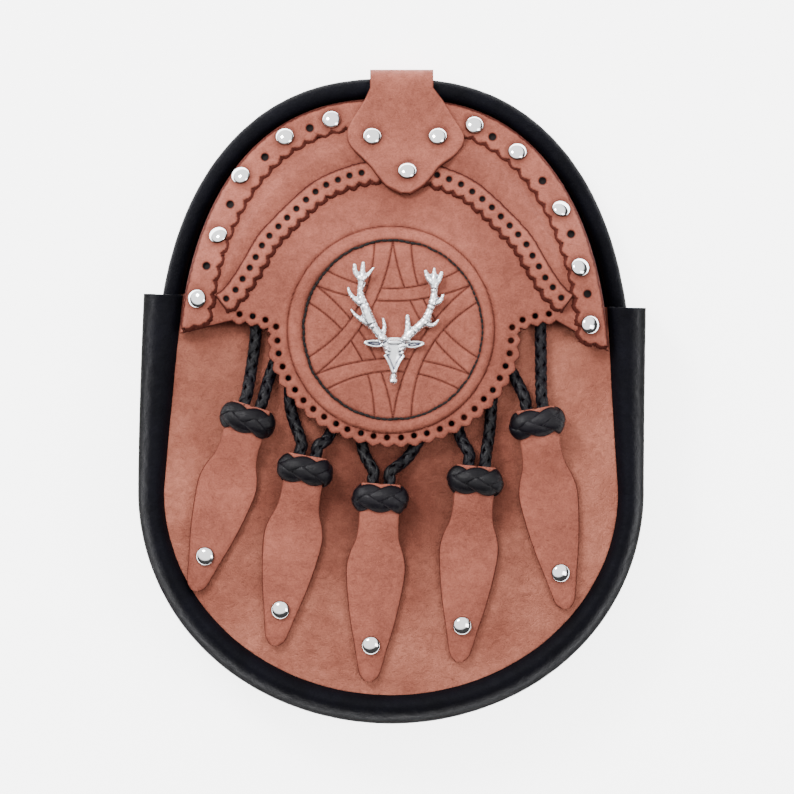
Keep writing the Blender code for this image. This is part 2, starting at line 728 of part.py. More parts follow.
def make_hanger_tab():
    """The tab runs up the flap, over the top roll and down onto the back panel."""
    roll_y = ARCH_TOP - ROLL_DIAMETER / 2
    tip = TAB_TOP - TAB_DROP
    flat_end = roll_y - ROLL_DIAMETER
    lines = [y for y in np.arange(0.0, flat_end, LATTICE) if y > tip]
    rows = [TAB_TOP - row[0] * TAB_DROP for row in TAB_OUTLINE]
    rows = [y for y in rows if y < roll_y - ROLL_DIAMETER / 2]
    front = [(y, tab_height(y)) for y in sorted({*lines, *rows})]
    high = tab_height(flat_end)
    over = TAB_TOP - roll_y
    low = LOOP_TOP - GAP - LEATHER
    under = ROLL_CENTRE - ROLL_DIAMETER / 2 - GAP - LEATHER
    middle = (high + under) / 2
    wrap = [
        (roll_y + over * math.sin(a), middle + (high - middle) * math.cos(a))
        for a in np.radians(TAB_TURN)
    ]
    path = front + wrap + [(roll_y - ROLL_DIAMETER / 2, under)]
    path += [(roll_y - TAB_BACK / 2, low), (roll_y - TAB_BACK, low)]
    drops = [row[0] for row in TAB_OUTLINE]
    points = []
    for k, (y, z) in enumerate(path):
        drop = (TAB_TOP - y) / TAB_DROP if k < len(front) else TAB_BEND_DROP
        left = np.interp(drop, drops, [row[1] for row in TAB_OUTLINE])
        right = np.interp(drop, drops, [row[2] for row in TAB_OUTLINE])
        for share in TAB_COLUMNS:
            points.append((TAB_X + TAB_HALF_WIDTH * (left + (right - left) * share), y, z))
    count = len(TAB_COLUMNS)
    faces = [
        (i * count + j, i * count + j + 1, (i + 1) * count + j + 1, (i + 1) * count + j)
        for i in range(len(path) - 1)
        for j in range(count - 1)
    ]
    tab = add("hanger_tab", mesh_from("hanger_tab", points, faces), TAN)
    solidify(tab, LEATHER)


def seat(height, x, y, radius):
    """The frame of a round piece on a surface: upright to it, and clear of its highest point by the gap."""
    east = (height(x + radius, y) - height(x - radius, y)) / (2 * radius)
    north = (height(x, y + radius) - height(x, y - radius)) / (2 * radius)
    normal = Vector((-east, -north, 1)).normalized()
    high = max(
        height(px, py) - east * (px - x) - north * (py - y)
        for px, py in [(x, y), *ring(x, y, radius, RIVET_SIDES)]
    )
    turn = Vector((0, 0, 1)).rotation_difference(normal).to_matrix().to_4x4()
    return Matrix.Translation((x, y, high + GAP / normal.z)) @ turn


def add_rivet(name, frame):
    """A domed cap, turned from its profile."""
    radius = RIVET_DIAMETER / 2
    profile = [(WELD, RIVET_HEIGHT)]
    profile += [(radius * across, RIVET_HEIGHT * high) for across, high in RIVET_PROFILE]
    profile.append((WELD, 0))
    mesh = mesh_from(name, [(r, 0, z) for r, z in profile], [])
    mesh.edges.add(len(profile) - 1)
    mesh.edges.foreach_set("vertices", [k for i in range(len(profile) - 1) for k in (i, i + 1)])
    rivet = add(name, mesh, CHROME)
    rivet.matrix_world = frame
    screw = rivet.modifiers.new("turn", "SCREW")
    screw.steps = RIVET_SIDES
    screw.render_steps = RIVET_SIDES
    screw.use_merge_vertices = True
    screw.merge_threshold = 10 * WELD
    return rivet


def make_flap_rivets():
    def on_trim(x, y):
        return flap_height(x, y) + TRIM_LOW + TRIM_THICKNESS

    for number, (x, y) in enumerate(trim_places()[0], 1):
        add_rivet(f"trim_rivet_{number}", seat(on_trim, x, y, RIVET_DIAMETER / 2))
    for number, (across, down) in enumerate(TAB_RIVETS, 1):
        x, y = TAB_X + across * TAB_HALF_WIDTH, TAB_TOP - down * TAB_DROP
        add_rivet(f"tab_rivet_{number}", seat(lambda _, v: tab_height(v), x, y, RIVET_DIAMETER / 2))


def make_badge():
    """A stag's head with its antlers, soldered into one piece."""
    half = [(BADGE_HEIGHT * x, BADGE_HEIGHT * y) for x, y in STAG_HEAD]
    outline = half + [(-x, y) for x, y in half[-2:0:-1]]
    middle = BADGE_THICKNESS / 2
    high = max(
        flap_height(BADGE_X + x, BADGE_Y + y) for x in (0, BADGE_HEIGHT / 3) for y in (0, BADGE_HEIGHT)
    )
    place = Vector((BADGE_X, BADGE_Y, high + FLAP_THICKNESS + GAP))
    mesh = sheet_mesh([outline], BADGE_THICKNESS)
    mesh.transform(Matrix.Translation(place))
    for side in (-1, 1):
        for number, branch in enumerate(STAG_ANTLER):
            route = [(side * BADGE_HEIGHT * x, BADGE_HEIGHT * y, middle) for x, y in branch]
            radius = ANTLER_DIAMETER / 2 * (1 if number == 0 else TINE_SHARE)
            thin = 1 if number == 0 else TIP_SHARE
            tube = tube_mesh(route, np.linspace(radius, radius * thin, len(route)), 1)
            tube.transform(Matrix.Translation(place))
            piece = bpy.data.objects.new(f"antler_{side}_{number}", tube)
            piece.hide_render = True
            piece.display_type = "WIRE"
            TOOLS.objects.link(piece)
    badge = add("stag_badge", mesh, CHROME)
    union = badge.modifiers.new("antlers", "BOOLEAN")
    union.operation = "UNION"
    union.operand_type = "COLLECTION"
    union.collection = TOOLS


def knot_height(x, y):
    """The height of a knot's middle over the front panel."""
    return float(front_height(x, y)) + GAP + KNOT_DEPTH / 2


def tassel_axes(place, lean):
    """The knot's middle, the direction down the tassel and the direction across it."""
    x, y = place[0] * MM, place[1] * MM
    down = Vector((-math.sin(math.radians(lean)), -math.cos(math.radians(lean)), 0))
    return Vector((x, y, knot_height(x, y))), down, Vector((-down.y, down.x, 0))


def wrapped_faces(rows, columns, closed):
    """Quads over rings of points, and from the last ring to the first if closed, or else a cap at each end."""
    faces = []
    for i in range(rows if closed else rows - 1):
        n = (i + 1) % rows
        for j in range(columns):
            m = (j + 1) % columns
            faces.append((i * columns + j, n * columns + j, n * columns + m, i * columns + m))
    if not closed:
        last = (rows - 1) * columns
        faces.append(tuple(range(columns)))
        faces.append(tuple(last + k for k in reversed(range(columns))))
    return faces


def make_knot(number, centre, down, side):
    """The ring that the plaited knot makes round the tassel's neck."""
    points = []
    for turn in np.arange(KNOT_SIDES) * 2 * math.pi / KNOT_SIDES:
        for roll in np.arange(KNOT_RING_SIDES) * 2 * math.pi / KNOT_RING_SIDES:
            out = GAP + KNOT_WALL / 2 * (1 + math.cos(roll))
            wide = (NECK_WIDTH / 2 + out) * math.cos(turn)
            deep = (NECK_THICKNESS / 2 + out) * math.sin(turn)
            along = KNOT_HEIGHT / 2 * math.sin(roll)
            points.append(centre + side * wide + down * along + Vector((0, 0, deep)))
    faces = wrapped_faces(KNOT_SIDES, KNOT_RING_SIDES, True)
    add(f"tassel_knot_{number}", mesh_from("knot", points, faces), BLACK)


def make_tongue(number, centre, down, side, long):
    """Leather that hangs out of the knot: rolled at its neck, flat below."""
    top = -(KNOT_HEIGHT / 2 + NECK_RIM) / long
    sections = [(top, NECK_WIDTH / TONGUE_WIDTH, 1.0), *TONGUE_SECTIONS]
    points = []
    for along, wide, lifted in sections:
        middle = centre + down * along * long
        half = wide * TONGUE_WIDTH / 2
        thick = TONGUE_THICKNESS + (NECK_THICKNESS - TONGUE_THICKNESS) * lifted
        flatness = FLAT_EDGE + (1 - FLAT_EDGE) * lifted
        for turn in np.arange(TONGUE_SIDES) * 2 * math.pi / TONGUE_SIDES:
            spot = middle + side * half * math.cos(turn)
            rest = float(front_height(spot.x, spot.y)) + GAP + TONGUE_THICKNESS / 2
            flat = rest + (centre.z - rest) * lifted
            bulge = math.copysign(abs(math.sin(turn)) ** flatness, math.sin(turn))
            points.append((spot.x, spot.y, flat + thick / 2 * bulge))
    faces = [face[::-1] for face in wrapped_faces(len(sections), TONGUE_SIDES, False)]
    add(f"tassel_leather_{number}", mesh_from("tongue", points, faces), TAN)


def make_cord(name, route, centre, down, last):
    """A cord from under the flap to the top of the neck."""
    plan = [(x * MM, y * MM) for x, y in route] + [(last - down * CORD_STRAIGHT).xy[:], last.xy[:]]
    plan = resample(smooth_curve(plan), CORD_POINTS)
    left = lengths(plan)[-1] - lengths(plan)
    points = []
    for (x, y), far in zip(plan, left):
        rest = float(front_height(x, y)) + GAP + CORD_DIAMETER / 2
        share = min(max(1 - far / CORD_RISE, 0), 1)
        points.append((x, y, rest + (centre.z - rest) * share * share * (3 - 2 * share)))
    add(name, tube_mesh(points, [CORD_DIAMETER / 2] * len(points), 1), BLACK)


def make_tassel(number, place, lean, share, left_route, right_route):
    """Leather that hangs out of a knot, with a rivet near its tip, on two cords."""
    centre, down, side = tassel_axes(place, lean)
    long = TONGUE_LENGTH * share
    make_knot(number, centre, down, side)
    make_tongue(number, centre, down, side, long)

    def on_tongue(x, y):
        return float(front_height(x, y)) + GAP + TONGUE_THICKNESS

    spot = centre + down * (long - TONGUE_RIVET)
    add_rivet(f"tassel_rivet_{number}", seat(on_tongue, spot.x, spot.y, RIVET_DIAMETER / 2))
    end = centre - down * (KNOT_HEIGHT / 2 + NECK_RIM + CORD_CLEARANCE)
    for name, hand, route in (("left", -1, left_route), ("right", 1, right_route)):
        last = end + side * hand * CORD_SPACING / 2
        make_cord(f"tassel_cord_{name}_{number}", route, centre, down, last)


for old in list(bpy.data.objects):
    bpy.data.objects.remove(old)

PARTS = collection("sporran_pouch")
TOOLS = collection("badge_branches")
TAN = material("tan_leather", (0.50, 0.24, 0.14), 0.6)
BLACK = material("black_leather", (0.012, 0.012, 0.015), 0.4)
CHROME = material("chrome", (0.80, 0.80, 0.82), 0.15, 1.0)

make_back_panel()
make_top_roll()
make_gusset()
make_front_panel()
make_belt_loops()
make_flap()
make_trims()
make_hanger_tab()
make_flap_rivets()
make_badge()
for index, row in enumerate(TASSELS, 1):
    make_tassel(index, *row)
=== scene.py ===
"""The looks of a leather sporran pouch that lies on its back, front face up.

Lengths are in millimetres until a mesh is made. +X is the right of the front face and +Y its top.
"""

import math

import bmesh
import bpy
import numpy as np
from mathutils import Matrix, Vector, kdtree, noise
from mathutils.geometry import delaunay_2d_cdt


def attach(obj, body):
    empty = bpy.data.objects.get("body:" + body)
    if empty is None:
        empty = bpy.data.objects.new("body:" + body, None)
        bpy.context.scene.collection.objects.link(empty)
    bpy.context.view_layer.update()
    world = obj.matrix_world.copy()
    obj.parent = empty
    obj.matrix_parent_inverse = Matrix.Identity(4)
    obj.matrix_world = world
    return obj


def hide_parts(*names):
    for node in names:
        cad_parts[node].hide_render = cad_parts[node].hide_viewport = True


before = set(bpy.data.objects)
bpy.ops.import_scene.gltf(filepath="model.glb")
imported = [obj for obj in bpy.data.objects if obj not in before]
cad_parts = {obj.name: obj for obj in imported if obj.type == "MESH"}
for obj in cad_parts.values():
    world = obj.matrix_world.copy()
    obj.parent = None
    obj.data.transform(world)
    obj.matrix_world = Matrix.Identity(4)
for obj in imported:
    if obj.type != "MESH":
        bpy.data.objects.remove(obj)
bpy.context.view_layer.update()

MM = 0.001
# Room between pieces that lie on each other
GAP = 0.3
RANDOM = np.random.default_rng(7)

# Body outline, arched top and roll
BODY_X = -0.2
BODY_HALF_WIDTH = 98.7
BODY_BOTTOM = 127.2
BODY_WAIST = 38.0
BODY_TOP_LEFT = 96.6
BODY_TOP_RIGHT = 99.3
BODY_TAPER = 1.6
LEFT_CORNER = 39.6
RIGHT_CORNER = 34.0
ARCH_X = 0.8
ARCH_HALF_WIDTH = 92.8
ARCH_TOP = 123.8
ARCH_SPRING = -10.0
ARCH_POWER = 2.45
ROLL_DIAMETER = 7.5
ROLL_CENTRE = 10.0
ROLL_BULGE = 0.9
WELT_INSET = 4.5
WELT_WIDTH = 9.0
WELT_THICKNESS = 1.4
WELT_SINK = 1.0

# Gusset and pocket
LEATHER = 2.0
BACK_LOW = 5.0
BODY_DEPTH = 36.0
RIM_HEIGHT = 32.0
RIM_REACH = 9.6
CORNER_REACH = 15.0
RIM_PLUMP = 0.5
SAG = 1.1
FRONT_CROWN = 7.0
FRONT_SINK = 0.15
CROWN_POWER = 3.2

# Flap, medallion and trims
FLAP_THICKNESS = 2.5
FLAP_LOW = 9.8
FLAP_HIGH = 44.5
FLAP_INSET = 8.0
DROOP_POWER = 4.0
MEDALLION = (1.0, 25.4)
MEDALLION_HALF_WIDTH = 46.2
MEDALLION_DROP = 41.9
MEDALLION_HOLES = 34
SCALLOP_NEAR = 2.5
SCALLOP_DEPTH = 1.6
SMALL_HOLE = 2.2
LARGE_HOLE = 2.9
TRIM_THICKNESS = 2.0
TRIM_LOW = 2.8
TRIM_MARGIN = 0.6
TRIM_WIDTH = 10.0
TRIM_RIVET_INSET = 5.8
TRIM_TAB_LEFT = 5.0
TRIM_TAB_RIGHT = 3.9
TRIM_LEFT_END = 27.0
TRIM_RIGHT_END = 20.0
TRIM_END_SLANT = 1.0
TRIM_TOOTH = 5.5
TRIM_TOOTH_DEPTH = 1.8
TRIM_TOOTH_ROOT = 1.1
BAND_WIDTH = 7.8
BAND_TOOTH_ROOT = 1.2
BAND_HOLES_OUT = 0.5
BAND_TOP = 87.2
BAND_SPREAD = 67.2
BAND_FOOT = 35.8
BAND_X = 1.2
BAND_HOLES_A_SIDE = 16
BAND_PLAIN_PITCHES = 4
PAD_LIFT = 3.0
PAD_SLOPE = 8.5

# Circles and interlace tooled in the medallion
TOOLED_CENTRE = (-0.2, 25.35)
OUTER_GROOVE = 40.4
RAISED_RING = 37.7
RING_HALF_WIDTH = 2.7
RING_LIFT = 1.2
STITCHED_CENTRE = (0.55, 25.35)
STITCHED_CIRCLE = 34.9
STITCHES = 96
STITCH_RADIUS = 0.52
STRAP_WIDTH = 4.9
STRAP_NEAREST = 13.65
STRAP_BOW = 0.00875
STRAP_FLARE = 0.0019
# For each of the six straps, the straps that it passes under
STRAPS_OVER = ((5, 1), (2,), (), (2, 4), (5,), ())

# Hanger tab
TAB_X = 5.5
TAB_HALF_WIDTH = 22.8
TAB_TOP = 127.2
TAB_DROP = 48.4
TAB_BACK = 22.0
TAB_LOW = 5.46

# Rivets, badge and tassels
RIVET_DIAMETER = 7.3
RIVET_HEIGHT = 2.0
TRIM_RIVET_SINK = 0.5
TAB_RIVET_SINK = 0.65
BADGE = (0.4, 4.3)
BADGE_VOXEL = 0.26
ANTLER_HEIGHT = 1.7
EAR_HALF_WIDTH = 1.35
KNOT_HEIGHT = 11.0
KNOT_WALL = 3.4
KNOT_DEPTH = 12.0
KNOT_SWING = 3.25
KNOT_CROWN = 1.0
KNOT_LEADS = 3
KNOT_BIGHTS = 5
KNOT_SINK = 0.6
KNOT_ROUNDNESS = 2.4
KNOT_TURN = 0.083
SLEEVE_HALF = 3.8
STRAND_WIDTH = 5.1
NECK_WIDTH = 15.4
NECK_THICKNESS = 4.6
NECK_RIM = 0.8
NECK_SEEN = 0.3
TONGUE_LENGTH = 70.7
TONGUE_WIDTH = 23.2
TONGUE_THICKNESS = 2.6
TONGUE_RIVET = 14.0
TONGUE_PLUMP = 0.35
CORD_DIAMETER = 4.3
CORD_SPACING = 6.6
CORD_STRAIGHT = 3.2
CORD_CLEARANCE = 1.1
CORD_RISE = 9.0
CORD_SWELL = 1.13

# The braid, as shares of its diameter: pitch, radius and weave of its strands, and their width and thickness.
BRAID_PITCH = 2.7
BRAID_RADIUS = 0.275
BRAID_WEAVE = 0.055
BRAID_STRAND = (0.62, 0.34)

# Section of the gusset from the back seam round to the front seam: inset from the outline as a share of
# RIM_REACH, and height as a share of BODY_DEPTH.
GUSSET_SECTION = (
    (1.00, 0.20),
    (0.76, 0.20),
    (0.62, 0.08),
    (0.36, 0.00),
    (0.12, 0.04),
    (0.00, 0.20),
    (0.00, 0.70),
    (0.12, 0.86),
    (0.34, 0.97),
    (0.60, 1.00),
    (0.84, 0.96),
    (1.00, 0.89),
)

# Fall of the flap from its hinge to its lower edge: height up the front as a share of ARCH_TOP, and how far
# it has risen as a share of its full rise.
FLAP_RISE = (
    (0.91, 0.00),
    (0.85, 0.07),
    (0.78, 0.18),
    (0.72, 0.31),
    (0.65, 0.44),
    (0.59, 0.58),
    (0.52, 0.73),
    (0.46, 0.86),
    (0.41, 0.95),
    (0.34, 0.99),
    (0.28, 1.00),
)

# Droop of the flap's side edge below its middle, by height up the front as a share of ARCH_TOP.
FLAP_DROOP = ((0.91, 0.0), (0.78, 0.10), (0.65, 0.25), (0.46, 0.28), (0.20, 0.265))

# The left end of the flap's hole line, from the shoulder to the medallion, about the medallion's middle:
# across as a share of MEDALLION_HALF_WIDTH and up as a share of MEDALLION_DROP.
HOLE_SHOULDER = ((1.36, 0.150), (1.18, 0.126), (1.00, 0.036))

# Rivets and holes by turns up each side of the outer trim: place as a share of the way from its end to the
# tab, and how far out from its middle line as a share of TRIM_WIDTH, on the left and then on the right.
TRIM_PLACES = (
    (0.102, 0.08, 0.073, -0.06),
    (0.231, 0.00, 0.191, 0.02),
    (0.356, -0.08, 0.296, -0.04),
    (0.482, 0.00, 0.428, 0.02),
    (0.595, 0.24, 0.531, 0.05),
    (0.706, 0.00, 0.659, 0.00),
    (0.813, 0.12, 0.806, 0.02),
    (0.911, -0.04, 0.917, -0.08),
    (1.000, 0.00, 1.000, 0.02),
)

# Half of the perforated band: spread and height as shares of its full spread and rise.
BAND_HALF = (
    (0.000, 1.000),
    (0.172, 0.990),
    (0.354, 0.912),
    (0.459, 0.833),
    (0.554, 0.725),
    (0.660, 0.588),
    (0.746, 0.462),
    (0.816, 0.304),
    (0.891, 0.146),
    (0.950, 0.050),
    (1.000, 0.000),
)

# Cut of one lobe of a pinked edge: place along it and how far it stands out, both as shares.
LOBE = (
    (0.00, 0.00),
    (0.10, 0.36),
    (0.20, 0.40),
    (0.30, 0.78),
    (0.41, 0.80),
    (0.50, 1.00),
    (0.59, 0.82),
    (0.70, 0.80),
    (0.80, 0.42),
    (0.90, 0.38),
    (1.00, 0.00),
)

# Outline of the hanger tab: drop below its top as a share of TAB_DROP, and its left and right edges as
# shares of TAB_HALF_WIDTH.
TAB_OUTLINE = (
    (0.00, -0.56, 0.40),
    (0.18, -0.65, 0.54),
    (0.25, -0.71, 0.64),
    (0.35, -0.85, 0.77),
    (0.46, -0.98, 0.92),
    (0.54, -1.00, 1.00),
    (0.62, -0.93, 0.96),
    (0.70, -0.76, 0.81),
    (0.78, -0.59, 0.57),
    (0.85, -0.48, 0.46),
    (0.93, -0.33, 0.30),
    (0.98, -0.14, 0.14),
)
TAB_RIVETS = ((-0.57, 0.54), (0.55, 0.54), (0.03, 0.82))

# A tassel's leather, along its axis from the knot's middle: place as a share of TONGUE_LENGTH, width as a
# share of TONGUE_WIDTH, and how much of the knot's lift is left.
TONGUE_SECTIONS = (
    (0.085, 0.67, 1.00),
    (0.150, 0.67, 0.80),
    (0.228, 0.74, 0.38),
    (0.303, 0.91, 0.10),
    (0.385, 1.00, 0.00),
    (0.520, 0.92, 0.00),
    (0.680, 0.75, 0.00),
    (0.830, 0.53, 0.00),
    (0.920, 0.41, 0.00),
    (0.970, 0.31, 0.00),
    (1.000, 0.14, 0.00),
)

# Tassels from left to right: the knot's place, the lean of the axis to the left of straight down in degrees,
# the tongue's length as a share of TONGUE_LENGTH, and the starts and flap crossings of the left and the right
# cord.
TASSELS = (
    ((-56.1, -9.8), 17.3, 0.985, ((-53.8, 32.5), (-53.0, 22.6)), ((-39.5, 26.9), (-46.6, 9.8))),
    ((-33.7, -29.4), 10.0, 0.980, ((-39.2, 11.3), (-39.4, -4.7)), ((-16.2, 3.4), (-24.4, -16.0))),
    ((-4.4, -40.4), 3.6, 1.010, ((-12.9, -2.0), (-11.2, -20.7)), ((17.9, -3.9), (7.6, -22.7))),
    ((32.6, -33.5), 5.1, 1.000, ((22.4, 6.6), (26.3, -14.6)), ((39.6, 7.8), (38.4, -12.0))),
    ((56.8, -11.0), -8.9, 1.035, ((38.2, 25.4), (47.4, 8.0)), ((57.9, 33.0), (58.2, 20.6))),
)

# Antler branches as places from the badge's foot, with a radius at each.
LEFT_ANTLER = (
    (
        (-3.6, 17.6, 1.5),
        (-6.6, 21.1, 1.5),
        (-8.8, 24.9, 1.9),
        (-10.5, 29.4, 1.7),
        (-12.2, 33.6, 1.4),
        (-12.6, 37.1, 1.0),
        (-12.1, 40.2, 1.2),
        (-11.6, 42.0, 1.3),
    ),
    ((-12.6, 41.0, 1.1), (-14.4, 43.4, 0.9), (-14.8, 46.2, 0.7)),
    ((-11.8, 42.0, 1.1), (-11.6, 44.4, 0.9), (-11.4, 47.0, 0.65)),
    ((-11.2, 41.2, 1.0), (-9.2, 43.0, 0.7), (-7.4, 45.2, 0.35)),
    ((-12.2, 36.6, 0.8), (-10.7, 39.4, 0.35)),
    ((-12.4, 31.4, 1.3), (-14.9, 33.2, 0.95), (-16.6, 35.3, 0.7), (-17.2, 37.3, 0.5)),
    ((-9.2, 23.4, 1.3), (-12.5, 25.2, 0.9), (-14.6, 27.0, 0.65), (-16.0, 28.9, 0.35)),
    ((-3.9, 18.6, 1.1), (-3.1, 22.2, 0.75), (-3.6, 25.3, 0.5)),
)
RIGHT_ANTLER = (
    (
        (4.6, 17.4, 1.5),
        (7.4, 20.0, 1.5),
        (10.5, 22.6, 1.5),
        (12.9, 25.0, 1.6),
        (14.3, 28.4, 1.25),
        (15.7, 32.0, 1.5),
        (16.2, 35.6, 1.2),
        (16.2, 39.2, 1.6),
    ),
    ((15.4, 39.8, 1.5), (13.8, 41.4, 1.0), (12.9, 43.8, 0.65)),
    ((16.2, 40.0, 1.5), (16.2, 42.2, 0.9), (16.3, 44.9, 0.45)),
    ((16.8, 39.4, 1.4), (18.3, 41.0, 0.95), (19.1, 43.2, 0.7)),
    ((15.9, 31.2, 1.2), (18.4, 32.3, 0.9), (19.8, 34.7, 0.45)),
    ((12.2, 23.6, 1.2), (15.7, 22.9, 0.8), (17.9, 25.0, 0.35)),
    ((5.4, 18.4, 1.2), (5.9, 22.2, 1.0), (5.8, 26.3, 0.8)),
)
ANTLER_SWELL = 1.16

# Webs of metal between the tines: place, half width and half length, and turn.
ANTLER_WEBS = (
    ((-12.9, 42.4), (1.5, 1.5), 0.4),
    ((-10.4, 42.2), (1.2, 1.2), -0.6),
    ((-13.1, 32.8), (1.9, 1.5), 0.5),
    ((-11.0, 26.0), (1.9, 1.5), 0.4),
    ((14.6, 41.6), (1.5, 1.3), 0.5),
    ((17.4, 41.4), (1.3, 1.3), -0.4),
    ((16.8, 33.2), (1.7, 1.3), -0.5),
    ((13.6, 25.0), (1.9, 1.2), -0.2),
)

# The stag's head from crown to nose: place up the face, half width, height and middle.
HEAD_SECTIONS = (
    (18.2, 2.6, 2.2, 0.9),
    (17.2, 4.4, 3.0, 0.9),
    (15.4, 4.9, 3.5, 0.85),
    (13.2, 4.2, 3.4, 0.8),
    (11.2, 3.3, 3.1, 0.75),
    (9.2, 2.5, 2.9, 0.7),
    (6.8, 1.7, 2.8, 0.6),
    (4.6, 1.3, 2.7, 0.5),
    (3.0, 1.4, 2.8, 0.4),
    (1.4, 1.7, 2.8, 0.35),
    (0.3, 1.2, 2.0, 0.35),
)

# Brows, cheeks, crown, antler roots, muzzle and nostrils: middle, half sizes and turn.
HEAD_LUMPS = (
    ((-2.0, 13.6, 3.2), (1.3, 0.55, 0.6), -0.55),
    ((3.6, 13.6, 3.2), (1.3, 0.55, 0.6), 0.55),
    ((-2.2, 12.1, 2.9), (1.0, 0.5, 0.5), -0.6),
    ((3.7, 12.1, 2.9), (1.0, 0.5, 0.5), 0.6),
    ((0.8, 16.2, 3.4), (2.8, 0.8, 0.45), 0.0),
    ((-3.9, 17.8, 2.3), (2.0, 1.6, 1.7), 0.0),
    ((5.2, 17.6, 2.3), (2.0, 1.6, 1.7), 0.0),
    ((0.4, 1.3, 1.9), (1.75, 1.5, 1.6), 0.0),
    ((-0.6, 1.0, 3.0), (0.5, 0.55, 0.5), 0.0),
    ((1.3, 1.0, 3.0), (0.5, 0.55, 0.5), 0.0),
)
HEAD_RIDGES = (
    ((-3.1, 11.4, 2.5), (-1.4, 8.4, 2.9), (0.2, 4.4, 2.9)),
    ((4.5, 11.2, 2.5), (2.6, 8.4, 2.9), (0.8, 4.4, 2.9)),
)

# Root and tip of each ear.
EARS = (((-4.0, 15.5), (-10.9, 16.1)), ((5.6, 15.1), (12.1, 15.8)))

# Uneven surfaces: depth, size of a wave and the noise's seed.
FLARE_ROUGHNESS = (0.5, 1.1, 21.0)
TONGUE_WAVES = (0.18, 9.0)
TONGUE_SEEDS = 17.3 / 9.0
FLAP_WAVES = (0.22, 16.0, 0.0)
TRIM_WAVES = (0.25, 11.0, 3.0)
TRIM_ROUGH_CUT = (0.35, 1.6, 12.0)
BAND_WAVES = (0.2, 9.0, 8.0)
TAB_WAVES = (0.3, 14.0, 5.0)
FRONT_WAVES = ((0.3, 13.0, 2.0), (0.12, 4.0, 6.0))
GUSSET_CREASES = ((0.28, 7.0, 1.0), (0.14, 2.6, 4.0))
ROLL_WAVES = (0.10, 2.4, 9.0)

# Scatter of handwork, and the hollow that a rivet presses round it: depth and reach.
FLAP_HOLE_SCATTER = 0.14
BAND_HOLE_SCATTER = 0.12
BAND_EDGE_SCATTER = 0.07
STITCH_SCATTER = (0.22, 0.45)
TRIM_HOLLOW = (0.55, 4.6)
TAB_HOLLOW = (0.75, 5.2)

# Steps along a cut edge, a trim's and a plain one, and how dark a rim and a side are: a burnished cut edge, and
# on the side also painted shadow under the edge.
EDGE_STEP = 0.3
TRIM_EDGE_STEP = 0.35
PLAIN_EDGE_STEP = 0.5
RIM_TONE = 0.85
SIDE_TONE = 0.95

# A cut rim: how far it drops and over what width, how wide its burnish is, rings of points inside it and round
# a hole, and the room that the lattice and the rings leave to it; then the lattice under the sheet.
RIM_DROP = 0.4
RIM_ROUND = 0.9
RIM_BURNISH = 0.55
EDGE_RINGS = (0.35, 0.8)
HOLE_RINGS = (0.25, 0.6)
LATTICE_ROOM = 1.1
RING_ROOM = 0.2
UNDER_SPACING = 6.0

# The leather's noises: detail, roughness and distortion; then the run of noise that makes spots, how much a
# dark-toned place (burnished edges and painted shade alike) dulls it, how far one noise adds to another in its
# relief, and the relief's depth in metres.
BLOTCH_NOISE = (4.0, 0.6)
GRAIN_NOISE = (3.0, 0.65)
CREASE_NOISE = (5.0, 0.72, 0.6)
SPOT_RUN = (0.38, 0.72)
DARK_TONE_DULL = 0.4
GRAIN_SHARE = 0.4
RELIEF_DEPTH = 0.0009

# The front leather's painted shade: how dark it is between the tassels, at the upper left and where the flap
# covers it, and the half sizes and middle of the painted shade between the tassels.
TASSEL_SHADE = 0.70
UPPER_SHADE = 0.34
COVERED_SHADE = 0.9
TASSEL_SHADE_HALF = (62, 40)
TASSEL_SHADE_MIDDLE = -38

# The camera's place in metres, its lens in mm and the end of its view in metres.
CAMERA_PLACE = (2.145 * MM, -0.78 * MM, 12.0)
CAMERA_LENS = 1390.9
CAMERA_END = 50.0

# The bright part of the sky lies round this direction, up and to the upper left, and fades out between these
# cosines of the angle to it.
SKY_AIM = (-0.18, 0.50, 0.85)
SKY_EDGE = (0.36, 0.52)
SKY_BRIGHT = 1.85
SKY_DARK = 0.06
FLOOR_HALF_WIDTH = 2500
FLOOR_GLOW = 4.5

# Area lights: name, place and size in metres, and watts.
LIGHTS = (
    ("key_light", (-0.85, 1.05, 1.4), (0.5, 0.5), 32.0),
    ("side_light", (1.2, -0.3, 1.4), (0.7, 0.9), 12.0),
)


def smooth_curve(points, steps):
    """A Catmull-Rom curve through the points, with that many steps between each two."""
    points = np.asarray(points, float)
    ends = np.vstack([2 * points[0] - points[1], points, 2 * points[-1] - points[-2]])
    found = []
    for a, b, c, d in zip(ends, ends[1:], ends[2:], ends[3:]):
        for t in np.arange(steps) / steps:
            bend = (2 * a - 5 * b + 4 * c - d) * t**2
            twist = (3 * b - a - 3 * c + d) * t**3
            found.append(0.5 * (2 * b + (c - a) * t + bend + twist))
    return np.array(found + [points[-1]])


def lengths(points):
    """The distance along the points from the first to each."""
    steps = np.linalg.norm(np.diff(points, axis=0), axis=1)
    return np.concatenate([[0.0], np.cumsum(steps)])


def at_lengths(points, wanted, values=None):
    """The places on the line through the points at these distances from its start, or its values there."""
    along = lengths(points)
    values = points if values is None else values
    return np.column_stack([np.interp(wanted, along, values[:, k]) for k in range(values.shape[1])])


def resample(points, count):
    return at_lengths(points, np.linspace(0, lengths(points)[-1], count))


def unit(rows):
    """The rows as unit vectors."""
    return rows / np.linalg.norm(rows, axis=1)[:, None]


def angles(count):
    """Equal steps round a circle."""
    return np.arange(count) * 2 * math.pi / count


def bell(away, width):
    """One at nought away, and falling smoothly to nought beyond the width."""
    return np.exp(-((away / width) ** 2))


def upward(count):
    """That many normals that point up."""
    return np.tile([0.0, 0.0, 1.0], (count, 1))


def inward(points):
    """The unit normals of a line round the body, towards its middle."""
    along = unit(np.gradient(points, axis=0))
    normals = np.column_stack([-along[:, 1], along[:, 0]])
    side = np.sign((normals * (np.array([0.0, -BODY_WAIST]) - points)).sum(1))
    return normals * side[:, None]


